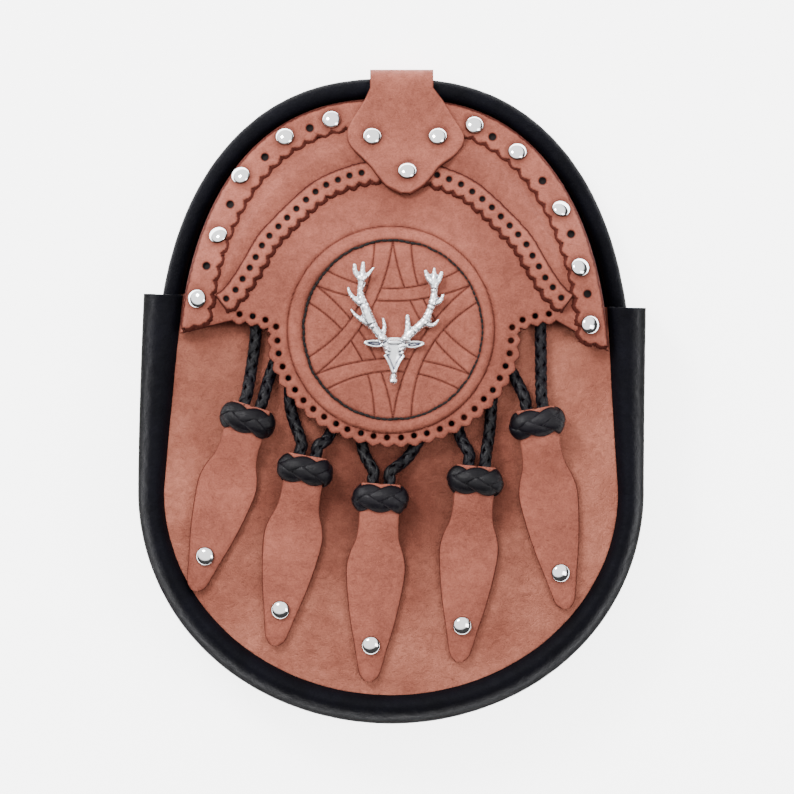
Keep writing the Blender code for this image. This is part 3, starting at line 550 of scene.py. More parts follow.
def inset(points, distance):
    return points + inward(points) * np.reshape(distance, (-1, 1))


def smooth_step(value, low, high):
    """Nought at low and one at high, with no corner between."""
    share = np.clip((value - low) / (high - low), 0, 1)
    return share * share * (3 - 2 * share)


def body_outline():
    """The gusset's outline from the left corner down round the bottom to the right corner."""

    def side(corner, low, high):
        heights = np.linspace(corner, -BODY_WAIST, 30)
        share = ((heights + BODY_WAIST) / (corner + BODY_WAIST)) ** BODY_TAPER
        return np.column_stack([low + (high - low) * share, heights])

    left = side(LEFT_CORNER, BODY_X - BODY_HALF_WIDTH, -BODY_TOP_LEFT)
    right = side(RIGHT_CORNER, BODY_X + BODY_HALF_WIDTH, BODY_TOP_RIGHT)
    turn = np.linspace(0, math.pi, 121)[1:-1]
    across = BODY_X - BODY_HALF_WIDTH * np.cos(turn)
    bottom = np.column_stack([across, -BODY_WAIST - (BODY_BOTTOM - BODY_WAIST) * np.sin(turn)])
    return np.vstack([left, bottom, right[::-1]])


def arch_outline(distance, left_end, right_end):
    """The arched top's outline, that far inside the roll's outer edge, from the left end to the right end."""
    turn = np.linspace(math.pi, 0, 241)
    power = 2 / ARCH_POWER
    line = np.column_stack(
        [
            ARCH_X + ARCH_HALF_WIDTH * np.sign(np.cos(turn)) * np.abs(np.cos(turn)) ** power,
            ARCH_SPRING + (ARCH_TOP - ARCH_SPRING) * np.abs(np.sin(turn)) ** power,
        ]
    )
    line = inset(resample(line, 241), distance)
    top = int(line[:, 1].argmax())
    left, right = line[: top + 1], line[top:][::-1]
    first = [np.interp(left_end, left[:, 1], left[:, 0]), left_end]
    last = [np.interp(right_end, right[:, 1], right[:, 0]), right_end]
    left = left[left[:, 1] > left_end + GAP]
    right = right[right[:, 1] > right_end + GAP][::-1]
    return np.vstack([[first], left, right[1:], [last]])


def rim_reach(height):
    """How far the gusset's front roll reaches in from the outline at that height up the front."""
    return np.interp(height, (-BODY_WAIST, LEFT_CORNER), (RIM_REACH, CORNER_REACH))


def front_height(x, y):
    """The height of the front panel's outer face."""
    reach = rim_reach(y) + GAP
    below = np.clip((-BODY_WAIST - y) / (BODY_BOTTOM - BODY_WAIST - reach), 0, None)
    share = np.minimum(np.hypot(np.abs(x) / (BODY_HALF_WIDTH - reach), below), 1.0)
    return RIM_HEIGHT + FRONT_CROWN * (1 - share**CROWN_POWER)


def soft_table(rows, at):
    """The table's value there, with its corners rounded off."""
    places = [-row[0] for row in rows]
    values = [row[1] for row in rows]
    return sum(np.interp(-at + off, places, values) for off in np.linspace(-0.05, 0.05, 7)) / 7


def flap_height(x, y):
    """The height of the flap's underside: it rises from the hinge and droops to its sides."""
    x, y = np.asarray(x, float), np.asarray(y, float)
    up = y / ARCH_TOP
    spring = ARCH_SPRING / ARCH_TOP
    high = np.clip((up - spring) / (1 - spring), 0, 1)
    half = (ARCH_HALF_WIDTH - FLAP_INSET) * np.maximum(1 - high**ARCH_POWER, 0.01) ** (1 / ARCH_POWER)
    across = np.minimum(np.abs(x - ARCH_X) / half, 1.1)
    rise = soft_table(FLAP_RISE, up) - soft_table(FLAP_DROOP, up) * across**DROOP_POWER
    return FLAP_LOW + (FLAP_HIGH - FLAP_LOW) * rise


def waves(places, *kinds):
    """Smooth uneven ground over the places: the sum of these depths, sizes of a wave and seeds."""
    total = 0.0
    for depth, size, seed in kinds:
        high = places[:, 2] / size if places.shape[1] > 2 else np.zeros(len(places))
        spots = np.column_stack([places[:, :2] / size, high + seed])
        total = total + depth * np.array([noise.noise(Vector(spot)) for spot in spots])
    return total


def circle(x, y, radius, sides):
    turn = angles(sides)
    return np.column_stack([x + radius * np.cos(turn), y + radius * np.sin(turn)])


def distance_from(line):
    """A function that tells how far each place is from the nearest of the line's points."""
    tree = kdtree.KDTree(len(line))
    for k, place in enumerate(line):
        tree.insert((*place, 0), k)
    tree.balance()
    return lambda places: np.array([tree.find((x, y, 0))[2] for x, y in places])


def mesh_object(name, points, faces, materials, tone=0.0, indices=None, sharp=None):
    """A smooth shaded object from points in millimetres; tone is how dark each point is, 0 to 1: burnished
    edges, tooled lines and painted shade.
    """
    mesh = bpy.data.meshes.new(name)
    mesh.from_pydata((np.asarray(points) * MM).tolist(), [], [tuple(face) for face in faces])
    for finish in materials:
        mesh.materials.append(finish)
    if indices is not None:
        mesh.polygons.foreach_set("material_index", np.asarray(indices, np.int32))
    layer = mesh.attributes.new("tone", "FLOAT", "POINT")
    layer.data.foreach_set("value", np.clip(np.broadcast_to(tone, len(points)), 0, 1).astype(np.float32))
    shape = bmesh.new()
    shape.from_mesh(mesh)
    bmesh.ops.recalc_face_normals(shape, faces=shape.faces[:])
    shape.to_mesh(mesh)
    shape.free()
    mesh.shade_smooth()
    if sharp:
        mesh.set_sharp_from_angle(angle=math.radians(sharp))
    made = bpy.data.objects.new(name, mesh)
    bpy.context.scene.collection.objects.link(made)
    return made


def thicken(made):
    """Gives the surface the leather's thickness, below it."""
    solid = made.modifiers.new("leather", "SOLIDIFY")
    solid.thickness = LEATHER * MM
    solid.offset = -1


def belongs(made, slot, *nodes):
    """The piece rides on the pouch and stands for those nodes; slot is not used."""
    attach(made, "root")
    if nodes:
        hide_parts(*nodes)
    return made


def grid_faces(rows, columns, wrap):
    """Quads over a grid of points, row by row; wrap closes each row on itself."""
    i = np.arange(rows - 1)[:, None]
    j = np.arange(columns if wrap else columns - 1)[None, :]
    n = (j + 1) % columns
    corners = [i * columns + j, i * columns + n, (i + 1) * columns + n, (i + 1) * columns + j]
    return np.stack(corners, -1).reshape(-1, 4).tolist()


def capped(rows, sides):
    """Quads over rings of points, and a face over the first and the last ring."""
    first = (rows - 1) * sides
    return grid_faces(rows, sides, True) + [list(range(sides)), list(range(first, first + sides))]


def dome_faces(rows, sides):
    """A fan from the first point over the first ring, and quads over the rings that follow it."""
    fan = [[0, 1 + k, 1 + (k + 1) % sides] for k in range(sides)]
    return fan + [[1 + v for v in face] for face in grid_faces(rows, sides, True)]


def tube(path, normals, width, thickness, sides, closed=False):
    """Points and faces of an elliptical strand: across the path by width, along the normals by thickness."""
    tangent = unit(np.gradient(path, axis=0))
    across = unit(np.cross(tangent, normals))
    normals = np.cross(across, tangent)
    turn = angles(sides)
    width, thickness = np.reshape(width, (-1, 1, 1)), np.reshape(thickness, (-1, 1, 1))
    rings = path[:, None] + width / 2 * np.cos(turn)[None, :, None] * across[:, None]
    rings = rings + thickness / 2 * np.sin(turn)[None, :, None] * normals[:, None]
    faces = capped(len(path), sides)
    if closed:
        last = (len(path) - 1) * sides
        faces = faces[:-2] + [[last + j, last + (j + 1) % sides, (j + 1) % sides, j] for j in range(sides)]
    return rings.reshape(-1, 3), faces


def joined(parts):
    """One list of points and of faces from several."""
    points, faces, start = [], [], 0
    for some, their_faces in parts:
        points.append(np.asarray(some))
        faces += [[start + k for k in face] for face in their_faces]
        start += len(some)
    return np.vstack(points), faces


def inside(points, outline):
    """Whether each point is inside the closed outline."""
    a, b = outline, np.roll(outline, -1, axis=0)
    rise = b[:, 1] - a[:, 1]
    slope = (b[:, 0] - a[:, 0]) / np.where(rise == 0, 1e-9, rise)
    found = []
    for some in np.array_split(points, max(1, len(points) // 3000)):
        x, y = some[:, 0:1], some[:, 1:2]
        crosses = (a[:, 1] > y) != (b[:, 1] > y)
        found.append((crosses & (x < a[:, 0] + (y - a[:, 1]) * slope)).sum(1) % 2 == 1)
    return np.concatenate(found)


def triangles(loops, fill):
    """Triangles over the first loop less the others: places, faces and the index of each loop point."""
    points = np.vstack([*loops, fill]) if len(fill) else np.vstack(loops)
    edges, start = [], 0
    for loop in loops:
        edges += [(start + k, start + (k + 1) % len(loop)) for k in range(len(loop))]
        start += len(loop)
    found = delaunay_2d_cdt([Vector(p) for p in points.tolist()], edges, [], 0, 1e-6)
    places = np.array([p[:] for p in found[0]])
    faces = np.array([face[:] for face in found[2]])
    index = np.zeros(len(points), int)
    for k, originals in enumerate(found[3]):
        index[originals] = k
    middles = places[faces].mean(1)
    keep = inside(middles, loops[0])
    for loop in loops[1:]:
        centre = loop.mean(0)
        apothem = np.linalg.norm(loop[0] - centre) * math.cos(math.pi / len(loop))
        keep &= np.hypot(*(middles - centre).T) > apothem
    return places, faces[keep], index


def hexagons(low, high, spacing):
    """Points of a triangular lattice over a box."""
    rows = np.arange(low[1], high[1], spacing * math.sqrt(3) / 2)
    found = []
    for k, y in enumerate(rows):
        x = np.arange(low[0] + (k % 2) * spacing / 2, high[0], spacing)
        found.append(np.column_stack([x, np.full(len(x), y)]))
    return np.vstack(found)


def outward_of(loop):
    """Unit normals of a closed loop, away from its inside."""
    along = np.roll(loop, -1, 0) - np.roll(loop, 1, 0)
    along /= np.linalg.norm(along, axis=1)[:, None] + 1e-9
    area = (loop[:, 0] * np.roll(loop[:, 1], -1) - loop[:, 1] * np.roll(loop[:, 0], -1)).sum()
    return np.column_stack([along[:, 1], -along[:, 0]]) * np.sign(area)


def sheet_fill(outline, holes, spacing, fine, clearance):
    """Points in a sheet: an even lattice, a tighter one round a place, and rings close to the cut edges."""
    fill = hexagons(outline.min(0), outline.max(0), spacing)
    if fine:
        centre, radius, pitch = fine
        fill = fill[np.hypot(*(fill - centre).T) > radius]
        dense = hexagons(centre - radius, centre + radius, pitch)
        fill = np.vstack([fill, dense[np.hypot(*(dense - centre).T) <= radius]])
    close = [outline - outward_of(outline) * off for off in EDGE_RINGS]
    close = np.vstack(close + [hole + outward_of(hole) * off for hole in holes for off in HOLE_RINGS])
    fill = np.vstack([fill[clearance(fill) > LATTICE_ROOM], close[clearance(close) > RING_ROOM]])
    fill = fill[inside(fill, outline)]
    for hole in holes:
        centre = hole.mean(0)
        fill = fill[np.hypot(*(fill - centre).T) > np.linalg.norm(hole[0] - centre) + 0.1]
    return fill


def leather_sheet(name, outline, holes, height, thickness, relief, spacing, flare, fine=None, hole_shade_lined=False):
    """A cut sheet of leather on a form, with rounded dark edges.

    height gives its underside, relief its tooling as (lift, tone), spacing its lattice, flare how far the cut
    edge runs out below, fine a tighter lattice as (centre, radius, spacing), and the last switch closes the
    holes underneath with the dark lining, painted shade seen through them.
    """
    loops = [outline, *holes]
    clearance = distance_from(np.vstack(loops))
    places, faces, index = triangles(loops, sheet_fill(outline, holes, spacing, fine, clearance))
    near = clearance(places)
    lift, tone = relief(places)
    drop = RIM_DROP * (1 - smooth_step(near, 0, RIM_ROUND))
    top = np.column_stack([places, height(*places.T) + thickness + lift - drop])
    tone = np.maximum(tone, RIM_TONE * (1 - smooth_step(near, 0.0, RIM_BURNISH)))

    out = outward_of(outline)
    inner = smooth_step(-(out * outline).sum(1) / np.linalg.norm(outline, axis=1), -0.2, 0.3)
    rough = 1 + waves(outline, FLARE_ROUGHNESS)
    # The cut edge runs out below so that its dark side shows from above: the edge's own colour and painted
    # shadow under it.
    below = [outline + out * (flare * (0.35 + 0.65 * inner) * rough)[:, None]] + ([] if hole_shade_lined else holes)
    wide = hexagons(outline.min(0), outline.max(0), UNDER_SPACING)
    base, under, foot = triangles(below, wide[inside(wide, outline)])
    sides = [top, np.column_stack([base, height(*base.T)])]
    walls, position = [], 0
    for number, loop in enumerate(loops):
        here = slice(position, position + len(loop))
        # Holes closed underneath get a floor of the dark lining: painted shade seen through the hole.
        if number == 0 or not hole_shade_lined:
            feet = foot[here] + len(top)
        else:
            feet = np.arange(len(loop)) + sum(map(len, sides))
            sides.append(np.column_stack([loop, height(*loop.T)]))
        n = np.roll(np.arange(len(loop)), -1)
        walls += np.column_stack([index[here], index[here][n], feet[n], feet]).tolist()
        position += len(loop)
    points = np.vstack(sides)
    tones = np.concatenate([tone, np.full(len(points) - len(top), SIDE_TONE)])
    all_faces = faces.tolist() + walls + (under + len(top)).tolist()
    lining_and_shade_slots = [0] * (len(faces) + len(walls)) + [1] * len(under)
    return mesh_object(name, points, all_faces, [TAN, LINING_AND_HOLE_SHADE], tones, lining_and_shade_slots, sharp=55)


# Materials


def new_material(name):
    made = bpy.data.materials.new(name)
    made.use_nodes = True
    tree = made.node_tree
    return made, tree, tree.nodes["Principled BSDF"]


def feed(tree, socket, value):
    """Links the value to the socket if it is an output, and sets it on the socket if it isn't."""
    if hasattr(value, "is_linked"):
        tree.links.new(value, socket)
    else:
        socket.default_value = value


def add_node(tree, kind, inputs=(), **settings):
    """A node with these settings, and for each input a value or an output to link."""
    made = tree.nodes.new(kind)
    for name, value in settings.items():
        setattr(made, name, value)
    for name, value in dict(inputs).items():
        feed(tree, made.inputs[name], value)
    return made


def ranged(tree, value, low, high, least=0.0, most=1.0):
    """The value's run from low to high as one from least to most."""
    inputs = {"Value": value, "From Min": low, "From Max": high, "To Min": least, "To Max": most}
    return add_node(tree, "ShaderNodeMapRange", inputs).outputs["Result"]


def sum_of(tree, first, second, share):
    """The first value and that share of the second."""
    part = add_node(tree, "ShaderNodeMath", {0: second, 1: share}, operation="MULTIPLY").outputs[0]
    return add_node(tree, "ShaderNodeMath", {0: first, 1: part}, operation="ADD").outputs[0]


def clouds(tree, scale, detail, roughness=0.5, distortion=0.0):
    """Noise over the piece."""
    inputs = {"Scale": scale, "Detail": detail, "Roughness": roughness, "Distortion": distortion}
    inputs["Vector"] = add_node(tree, "ShaderNodeTexCoord").outputs["Object"]
    return add_node(tree, "ShaderNodeTexNoise", inputs).outputs["Fac"]


def tone_of(tree):
    return add_node(tree, "ShaderNodeAttribute", attribute_name="tone").outputs["Fac"]


def mixed(tree, share, first, second):
    """Colour that runs from the first to the second by that share."""
    made = add_node(tree, "ShaderNodeMix", data_type="RGBA")
    for socket, value in ((0, share), (6, first), (7, second)):
        feed(tree, made.inputs[socket], (*value, 1.0) if isinstance(value, tuple) else value)
    return made.outputs[2]


def leather(name, light, middle, dark, roughness, bump, shine, grain=1500.0, blotch=45.0, speck=0.3):
    """Leather with blotches, fine grain and creases, dark where the tone attribute says so: burnished edges,
    tooled lines and painted shade.
    """
    made, tree, shader = new_material(name)
    fine = clouds(tree, grain, *GRAIN_NOISE)
    crease = clouds(tree, grain / 5, *CREASE_NOISE)
    colour = mixed(tree, ranged(tree, clouds(tree, blotch, *BLOTCH_NOISE), 0.35, 0.65), light, middle)
    for source, most in ((crease, speck), (fine, speck * 0.8)):
        colour = mixed(tree, ranged(tree, source, *SPOT_RUN, 0.0, most), colour, dark)
    tone = tone_of(tree)
    feed(tree, shader.inputs["Base Color"], mixed(tree, tone, colour, dark))
    rough = ranged(tree, crease, 0.3, 0.7, roughness - 0.07, roughness + 0.07)
    feed(tree, shader.inputs["Roughness"], sum_of(tree, rough, tone, DARK_TONE_DULL))
    height = sum_of(tree, crease, fine, GRAIN_SHARE)
    bumped = add_node(tree, "ShaderNodeBump", {"Strength": bump, "Distance": RELIEF_DEPTH, "Height": height})
    feed(tree, shader.inputs["Normal"], bumped.outputs["Normal"])
    feed(tree, shader.inputs["Specular IOR Level"], shine)
    return made


def metal(name, colour, roughness, dark, hollow_shade=False):
    """Bright plated metal with a few fine scuffs, with painted shade where the tone attribute says, or in its
    hollows.
    """
    made, tree, shader = new_material(name)
    scuffed = ranged(tree, clouds(tree, 900.0, 5.0), 0.4, 0.75, roughness, roughness + 0.14)
    feed(tree, shader.inputs["Roughness"], scuffed)
    if hollow_shade:
        # Painted shade in the hollows, read from the surface's pointiness.
        bend = add_node(tree, "ShaderNodeNewGeometry").outputs["Pointiness"]
        shade = mixed(tree, ranged(tree, bend, 0.465, 0.503), dark, colour)
    else:
        shade = mixed(tree, tone_of(tree), colour, dark)
    feed(tree, shader.inputs["Base Color"], shade)
    feed(tree, shader.inputs["Metallic"], 1.0)
    return made


def plain(name, colour, roughness):
    made, tree, shader = new_material(name)
    feed(tree, shader.inputs["Base Color"], (*colour, 1.0))
    feed(tree, shader.inputs["Roughness"], roughness)
    return made


TAN = leather(
    "tan_leather_look",
    (0.400, 0.127, 0.086),
    (0.300, 0.092, 0.062),
    (0.040, 0.006, 0.0045),
    0.55,
    bump=0.7,
    shine=0.09,
    speck=0.36,
)
SUEDE = leather(
    "front_leather_look",
    (0.525, 0.184, 0.123),
    (0.350, 0.111, 0.073),
    (0.042, 0.008, 0.0055),
    0.65,
    bump=1.0,
    shine=0.12,
    grain=1600.0,
    blotch=42.0,
    speck=0.32,
)
BLACK = leather(
    "black_leather_look",
    (0.0042, 0.0042, 0.0075),
    (0.0025, 0.0025, 0.0042),
    (0.0015, 0.0015, 0.0020),
    0.55,
    bump=0.5,
    shine=0.05,
    grain=1300.0,
    blotch=60.0,
)
STRAND = leather(
    "braid_look",
    (0.0050, 0.0036, 0.0070),
    (0.0022, 0.0018, 0.0032),
    (0.0005, 0.0005, 0.0006),
    0.36,
    bump=0.3,
    shine=0.2,
    grain=2600.0,
)
# Dark lining for the sheets' undersides; under the trims it also closes the punched holes as painted shade.
LINING_AND_HOLE_SHADE = plain("lining_and_hole_shade_look", (0.006, 0.002, 0.0015), 0.9)
THREAD = plain("thread_look", (0.004, 0.0015, 0.0012), 0.9)
# The rivets' dark colour is painted shade round their edges.
CHROME = metal("rivet_look", (0.96, 0.96, 0.97), 0.04, (0.04, 0.04, 0.045))
# The badge's dark colour is painted shade in its hollows.
SILVER = metal("badge_look", (0.96, 0.97, 1.0), 0.26, (0.09, 0.09, 0.13), hollow_shade=True)

# Camera


def make_camera():
    data = bpy.data.cameras.new("camera")
    data.sensor_width = 36.0
    data.lens = CAMERA_LENS
    data.clip_end = CAMERA_END
    made = bpy.data.objects.new("camera", data)
    made.location = CAMERA_PLACE
    bpy.context.scene.collection.objects.link(made)
    bpy.context.scene.camera = made


make_camera()


# Tassels


def tassel_frame(place, lean):
    """The knot's middle, the direction down the tassel and the direction across it."""
    x, y = place
    down = np.array([-math.sin(math.radians(lean)), -math.cos(math.radians(lean)), 0.0])
    side = np.array([-down[1], down[0], 0.0])
    centre = np.array([x, y, float(front_height(x, y)) + GAP + KNOT_DEPTH / 2])
    return centre, down, side


def cord_path(place, lean, hand, route):
    """The line of a cord from under the flap into the top of the neck."""
    centre, down, side = tassel_frame(place, lean)
    top = KNOT_HEIGHT / 2 + NECK_RIM + CORD_CLEARANCE
    last = centre - down * top + side * hand * CORD_SPACING / 2
    deep = last + down * (top - KNOT_HEIGHT / 4) - side * hand * 0.6
    plan = np.vstack([route, (last - down * CORD_STRAIGHT)[:2], last[:2], deep[:2]])
    plan = resample(smooth_curve(plan, 12), 60)
    far = lengths(plan)[-1] - lengths(plan)
    rest = front_height(*plan.T) + GAP + CORD_DIAMETER / 2
    share = smooth_step(1 - (far - top) / CORD_RISE, 0, 1)
    return np.column_stack([plan, rest + (centre[2] - rest) * share])


def braid(path, diameter):
    """Four strands plaited round a path, two each way, each over one and under one."""
    path = resample(path, int(lengths(path)[-1] / EDGE_STEP))
    tangent = unit(np.gradient(path, axis=0))
    side = unit(np.cross(tangent, [0.0, 0.0, 1.0]))
    up = np.cross(side, tangent)
    trip = 2 * math.pi * lengths(path) / (BRAID_PITCH * diameter)
    parts = []
    for hand, phase in ((1, 0.0), (1, math.pi), (-1, 0.5 * math.pi), (-1, 1.5 * math.pi)):
        turn = hand * trip + phase
        weave = np.cos(2 * trip + (0 if hand > 0 else math.pi))
        normal = side * np.cos(turn)[:, None] + up * np.sin(turn)[:, None]
        strand = path + normal * (diameter * (BRAID_RADIUS + BRAID_WEAVE * weave))[:, None]
        parts.append(tube(strand, normal, *(diameter * share for share in BRAID_STRAND), 10))
    return joined(parts)


def make_cords():
    """Two plaited cords to each tassel; they come out from under the flap and end in the knot."""
    made = {}
    for number, (place, lean, _, left, right) in enumerate(TASSELS, 1):
        for name, hand, route in (("left", -1, left), ("right", 1, right)):
            path = cord_path(place, lean, hand, np.array(route))
            points, faces = braid(path, CORD_DIAMETER * CORD_SWELL)
            cord = mesh_object(f"braided_cord_{name}_{number}", points, faces, [STRAND])
            belongs(cord, "braid", f"tassel_cord_{name}_{number}")
            made[name, number] = (cord, path)
    return made


CORDS = make_cords()


def make_knot(number, centre, down, side):
    """A Turk's head of one flat strand that goes three times round the neck."""
    out_of_neck = GAP + KNOT_WALL - KNOT_CROWN - KNOT_SINK
    turn = np.linspace(0, 2 * math.pi, 361)
    blunt = 2 / KNOT_ROUNDNESS
    loop = np.column_stack(
        [
            (NECK_WIDTH / 2 + out_of_neck) * np.sign(np.cos(turn)) * np.abs(np.cos(turn)) ** blunt,
            (NECK_THICKNESS / 2 + out_of_neck) * np.sign(np.sin(turn)) * np.abs(np.sin(turn)) ** blunt,
        ]
    )
    loop = resample(loop, 361)
    around = np.gradient(loop, axis=0)
    around[0] = around[-1] = loop[1] - loop[-2]
    around = unit(around)
    outward = np.column_stack([around[:, 1], -around[:, 0]])
    trips = np.linspace(0, KNOT_LEADS, 421)[:-1]
    weave = 2 * math.pi * KNOT_BIGHTS / KNOT_LEADS * trips
    share = (trips + KNOT_TURN * number) % 1.0 * lengths(loop)[-1]
    spot, normal = at_lengths(loop, share), at_lengths(loop, share, outward)
    swing = (np.cos(weave) + 0.07 * np.cos(3 * weave)) / 1.07
    out = 0.5 * np.sin(2 * weave) - 0.9 * swing**2
    spot = spot + normal * out[:, None]
    basis = np.array([side, [0.0, 0.0, 1.0]])
    path = centre + spot @ basis + np.outer(KNOT_SWING * swing, down)
    facing = unit(normal @ basis + np.outer(0.62 * swing, down))
    strand = tube(path, facing, STRAND_WIDTH, 2 * KNOT_CROWN, 16, closed=True)
    core = centre + (loop[:-1:6] - outward[:-1:6] * 0.9) @ basis
    sleeve = np.vstack([core + down * off for off in (-SLEEVE_HALF, SLEEVE_HALF)])
    shell = (sleeve, grid_faces(2, len(core), True))
    knot = mesh_object(f"turks_head_{number}", *joined([strand, shell]), [STRAND])
    return belongs(knot, "braid", f"tassel_knot_{number}")


def make_tongue(number, centre, down, side, long):
    """Leather rolled at its neck and flat below, with a dark cut edge."""
    top = -(KNOT_HEIGHT / 2 + NECK_SEEN) / long
    wide = NECK_WIDTH / TONGUE_WIDTH
    neck = [(top, wide * 0.84, 1.0), (top + 0.004, wide * 0.93, 1.0), (top + 0.014, wide, 1.0)]
    sections = smooth_curve(np.array([*neck, *TONGUE_SECTIONS]), 8)
    count = 64
    cosine, sine = np.cos(angles(count)), np.sin(angles(count))
    points, tone = [], []
    for along, wide, lifted in sections:
        lifted = min(max(lifted, 0.0), 1.0)
        middle = centre + down * along * long
        half = wide * TONGUE_WIDTH / 2
        thick = TONGUE_THICKNESS + (NECK_THICKNESS - TONGUE_THICKNESS) * lifted
        flatter = 0.5 + 0.5 * lifted
        spot = middle[:2] + np.outer(half * cosine, side[:2])
        rest = front_height(*spot.T) + GAP + TONGUE_THICKNESS / 2
        flat = rest + (centre[2] - rest) * lifted
        swell = TONGUE_PLUMP * (1 - lifted) * (1 - np.abs(cosine) ** 3) * (sine > 0)
        high = flat + thick / 2 * np.sign(sine) * np.abs(sine) ** flatter + swell
        high = high + waves(spot, (*TONGUE_WAVES, number * TONGUE_SEEDS)) * (sine > 0)
        points.append(np.column_stack([spot, high]))
        edge = smooth_step(np.abs(cosine) * half, half - 0.5, half) * (1 - lifted)
        tone.append(np.where(sine > 0.2, edge * 0.55, 0.85 * (1 - 0.6 * lifted) * (np.abs(cosine) > 0.8)))
    name, faces = f"tassel_tongue_{number}", capped(len(sections), count)
    tongue = mesh_object(name, np.vstack(points), faces, [TAN], np.concatenate(tone), sharp=50)
    return belongs(tongue, "tan_leather", f"tassel_leather_{number}")


def rivet_mesh():
    """Points, faces and tones of a domed cap at the origin."""
    radius, sides, seat = RIVET_DIAMETER / 2, 48, 0.35
    climb = np.linspace(0, 1, 14)[1:] * math.pi / 2
    profile = [(radius * math.sin(a), seat + (RIVET_HEIGHT - seat) * math.cos(a) ** 1.15) for a in climb]
    profile += [(radius, 0.15), (radius * 0.96, 0.0), (radius * 0.6, 0.0)]
    rings = [np.column_stack([circle(0, 0, r, sides), np.full(sides, z)]) for r, z in profile]
    points = np.vstack([[[0.0, 0.0, RIVET_HEIGHT]], *rings])
    last = 1 + (len(profile) - 1) * sides
    faces = dome_faces(len(profile), sides) + [list(range(last, last + sides))]
    # The tone paints shade as a dark ring round the cap's edge.
    return points, faces, smooth_step(np.hypot(points[:, 0], points[:, 1]), radius * 0.93, radius)


def make_rivet(node, height, x, y, sink=0.0):
    """A domed cap seated on a surface, in place of that node."""
    step = RIVET_DIAMETER / 2
    east = float(height(x + step, y) - height(x - step, y)) / (2 * step)
    north = float(height(x, y + step) - height(x, y - step)) / (2 * step)
    normal = Vector((-east, -north, 1)).normalized()
    turn = Vector((0, 0, 1)).rotation_difference(normal).to_matrix()
    points, faces, tone = rivet_mesh()
    points = points @ np.array(turn).T + [x, y, float(height(x, y)) + GAP - sink]
    cap = mesh_object(f"cap_{node}", points, faces, [CHROME], tone, sharp=60)
    return belongs(cap, "rivets", node)


def make_tassels():
    def on_tongue(px, py):
        return front_height(px, py) + GAP + TONGUE_THICKNESS + TONGUE_PLUMP

    for number, (place, lean, share, _, _) in enumerate(TASSELS, 1):
        centre, down, side = tassel_frame(place, lean)
        knot = make_knot(number, centre, down, side)
        long = TONGUE_LENGTH * share
        tongue = make_tongue(number, centre, down, side, long)
        spot = centre + down * (long - TONGUE_RIVET)
        cap = make_rivet(f"tassel_rivet_{number}", on_tongue, spot[0], spot[1])


make_tassels()

# Flap


def pinked(share):
    """How far a pinked edge stands out: a lobe for each step, 0 between lobes and 1 at their middles."""
    return np.interp(share % 1.0, [row[0] for row in LOBE], [row[1] for row in LOBE])


def hole_line():
    """The line of the flap's lower holes: along a shoulder, round the medallion and along the other one."""
    turn = np.radians(range(192, 350, 12))
    around = [(math.cos(a), math.sin(a)) for a in turn]
    left = [(-across, up) for across, up in HOLE_SHOULDER]
    shares = np.array([*left, *around, *HOLE_SHOULDER[::-1]])
    points = shares * [MEDALLION_HALF_WIDTH, MEDALLION_DROP] + MEDALLION
    return resample(smooth_curve(points, 6), 400)


def band_line():
    """The middle line of the pierced arched band."""
    rise = BAND_TOP - BAND_FOOT
    half = [(BAND_SPREAD * spread, BAND_FOOT + rise * high) for spread, high in BAND_HALF]
    line = np.array([(-x, y) for x, y in half[:0:-1]] + half) + [BAND_X, 0]
    return resample(smooth_curve(line, 12), 600)


def trim_places():
    """The outer trim's rivets and holes."""
    line = arch_outline(FLAP_INSET + TRIM_RIVET_INSET, TRIM_LEFT_END, TRIM_RIGHT_END)
    table = np.array(TRIM_PLACES)
    places = []
    for half, edge, (share, out) in (
        (line, TAB_X - TAB_HALF_WIDTH - TRIM_TAB_LEFT, table[:, :2].T),
        (line[::-1], TAB_X + TAB_HALF_WIDTH + TRIM_TAB_RIGHT, table[:, 2:].T),
    ):
        side = np.sign(edge - TAB_X)
        up_to_tab = lengths(half[(half[:, 0] - edge) * side > 0])[-1]
        normals = at_lengths(half, share * up_to_tab, inward(half))
        places.append(at_lengths(half, share * up_to_tab) - normals * out[:, None] * TRIM_WIDTH)
    return np.vstack([row[::2] for row in places]), np.vstack([row[1::2] for row in places])


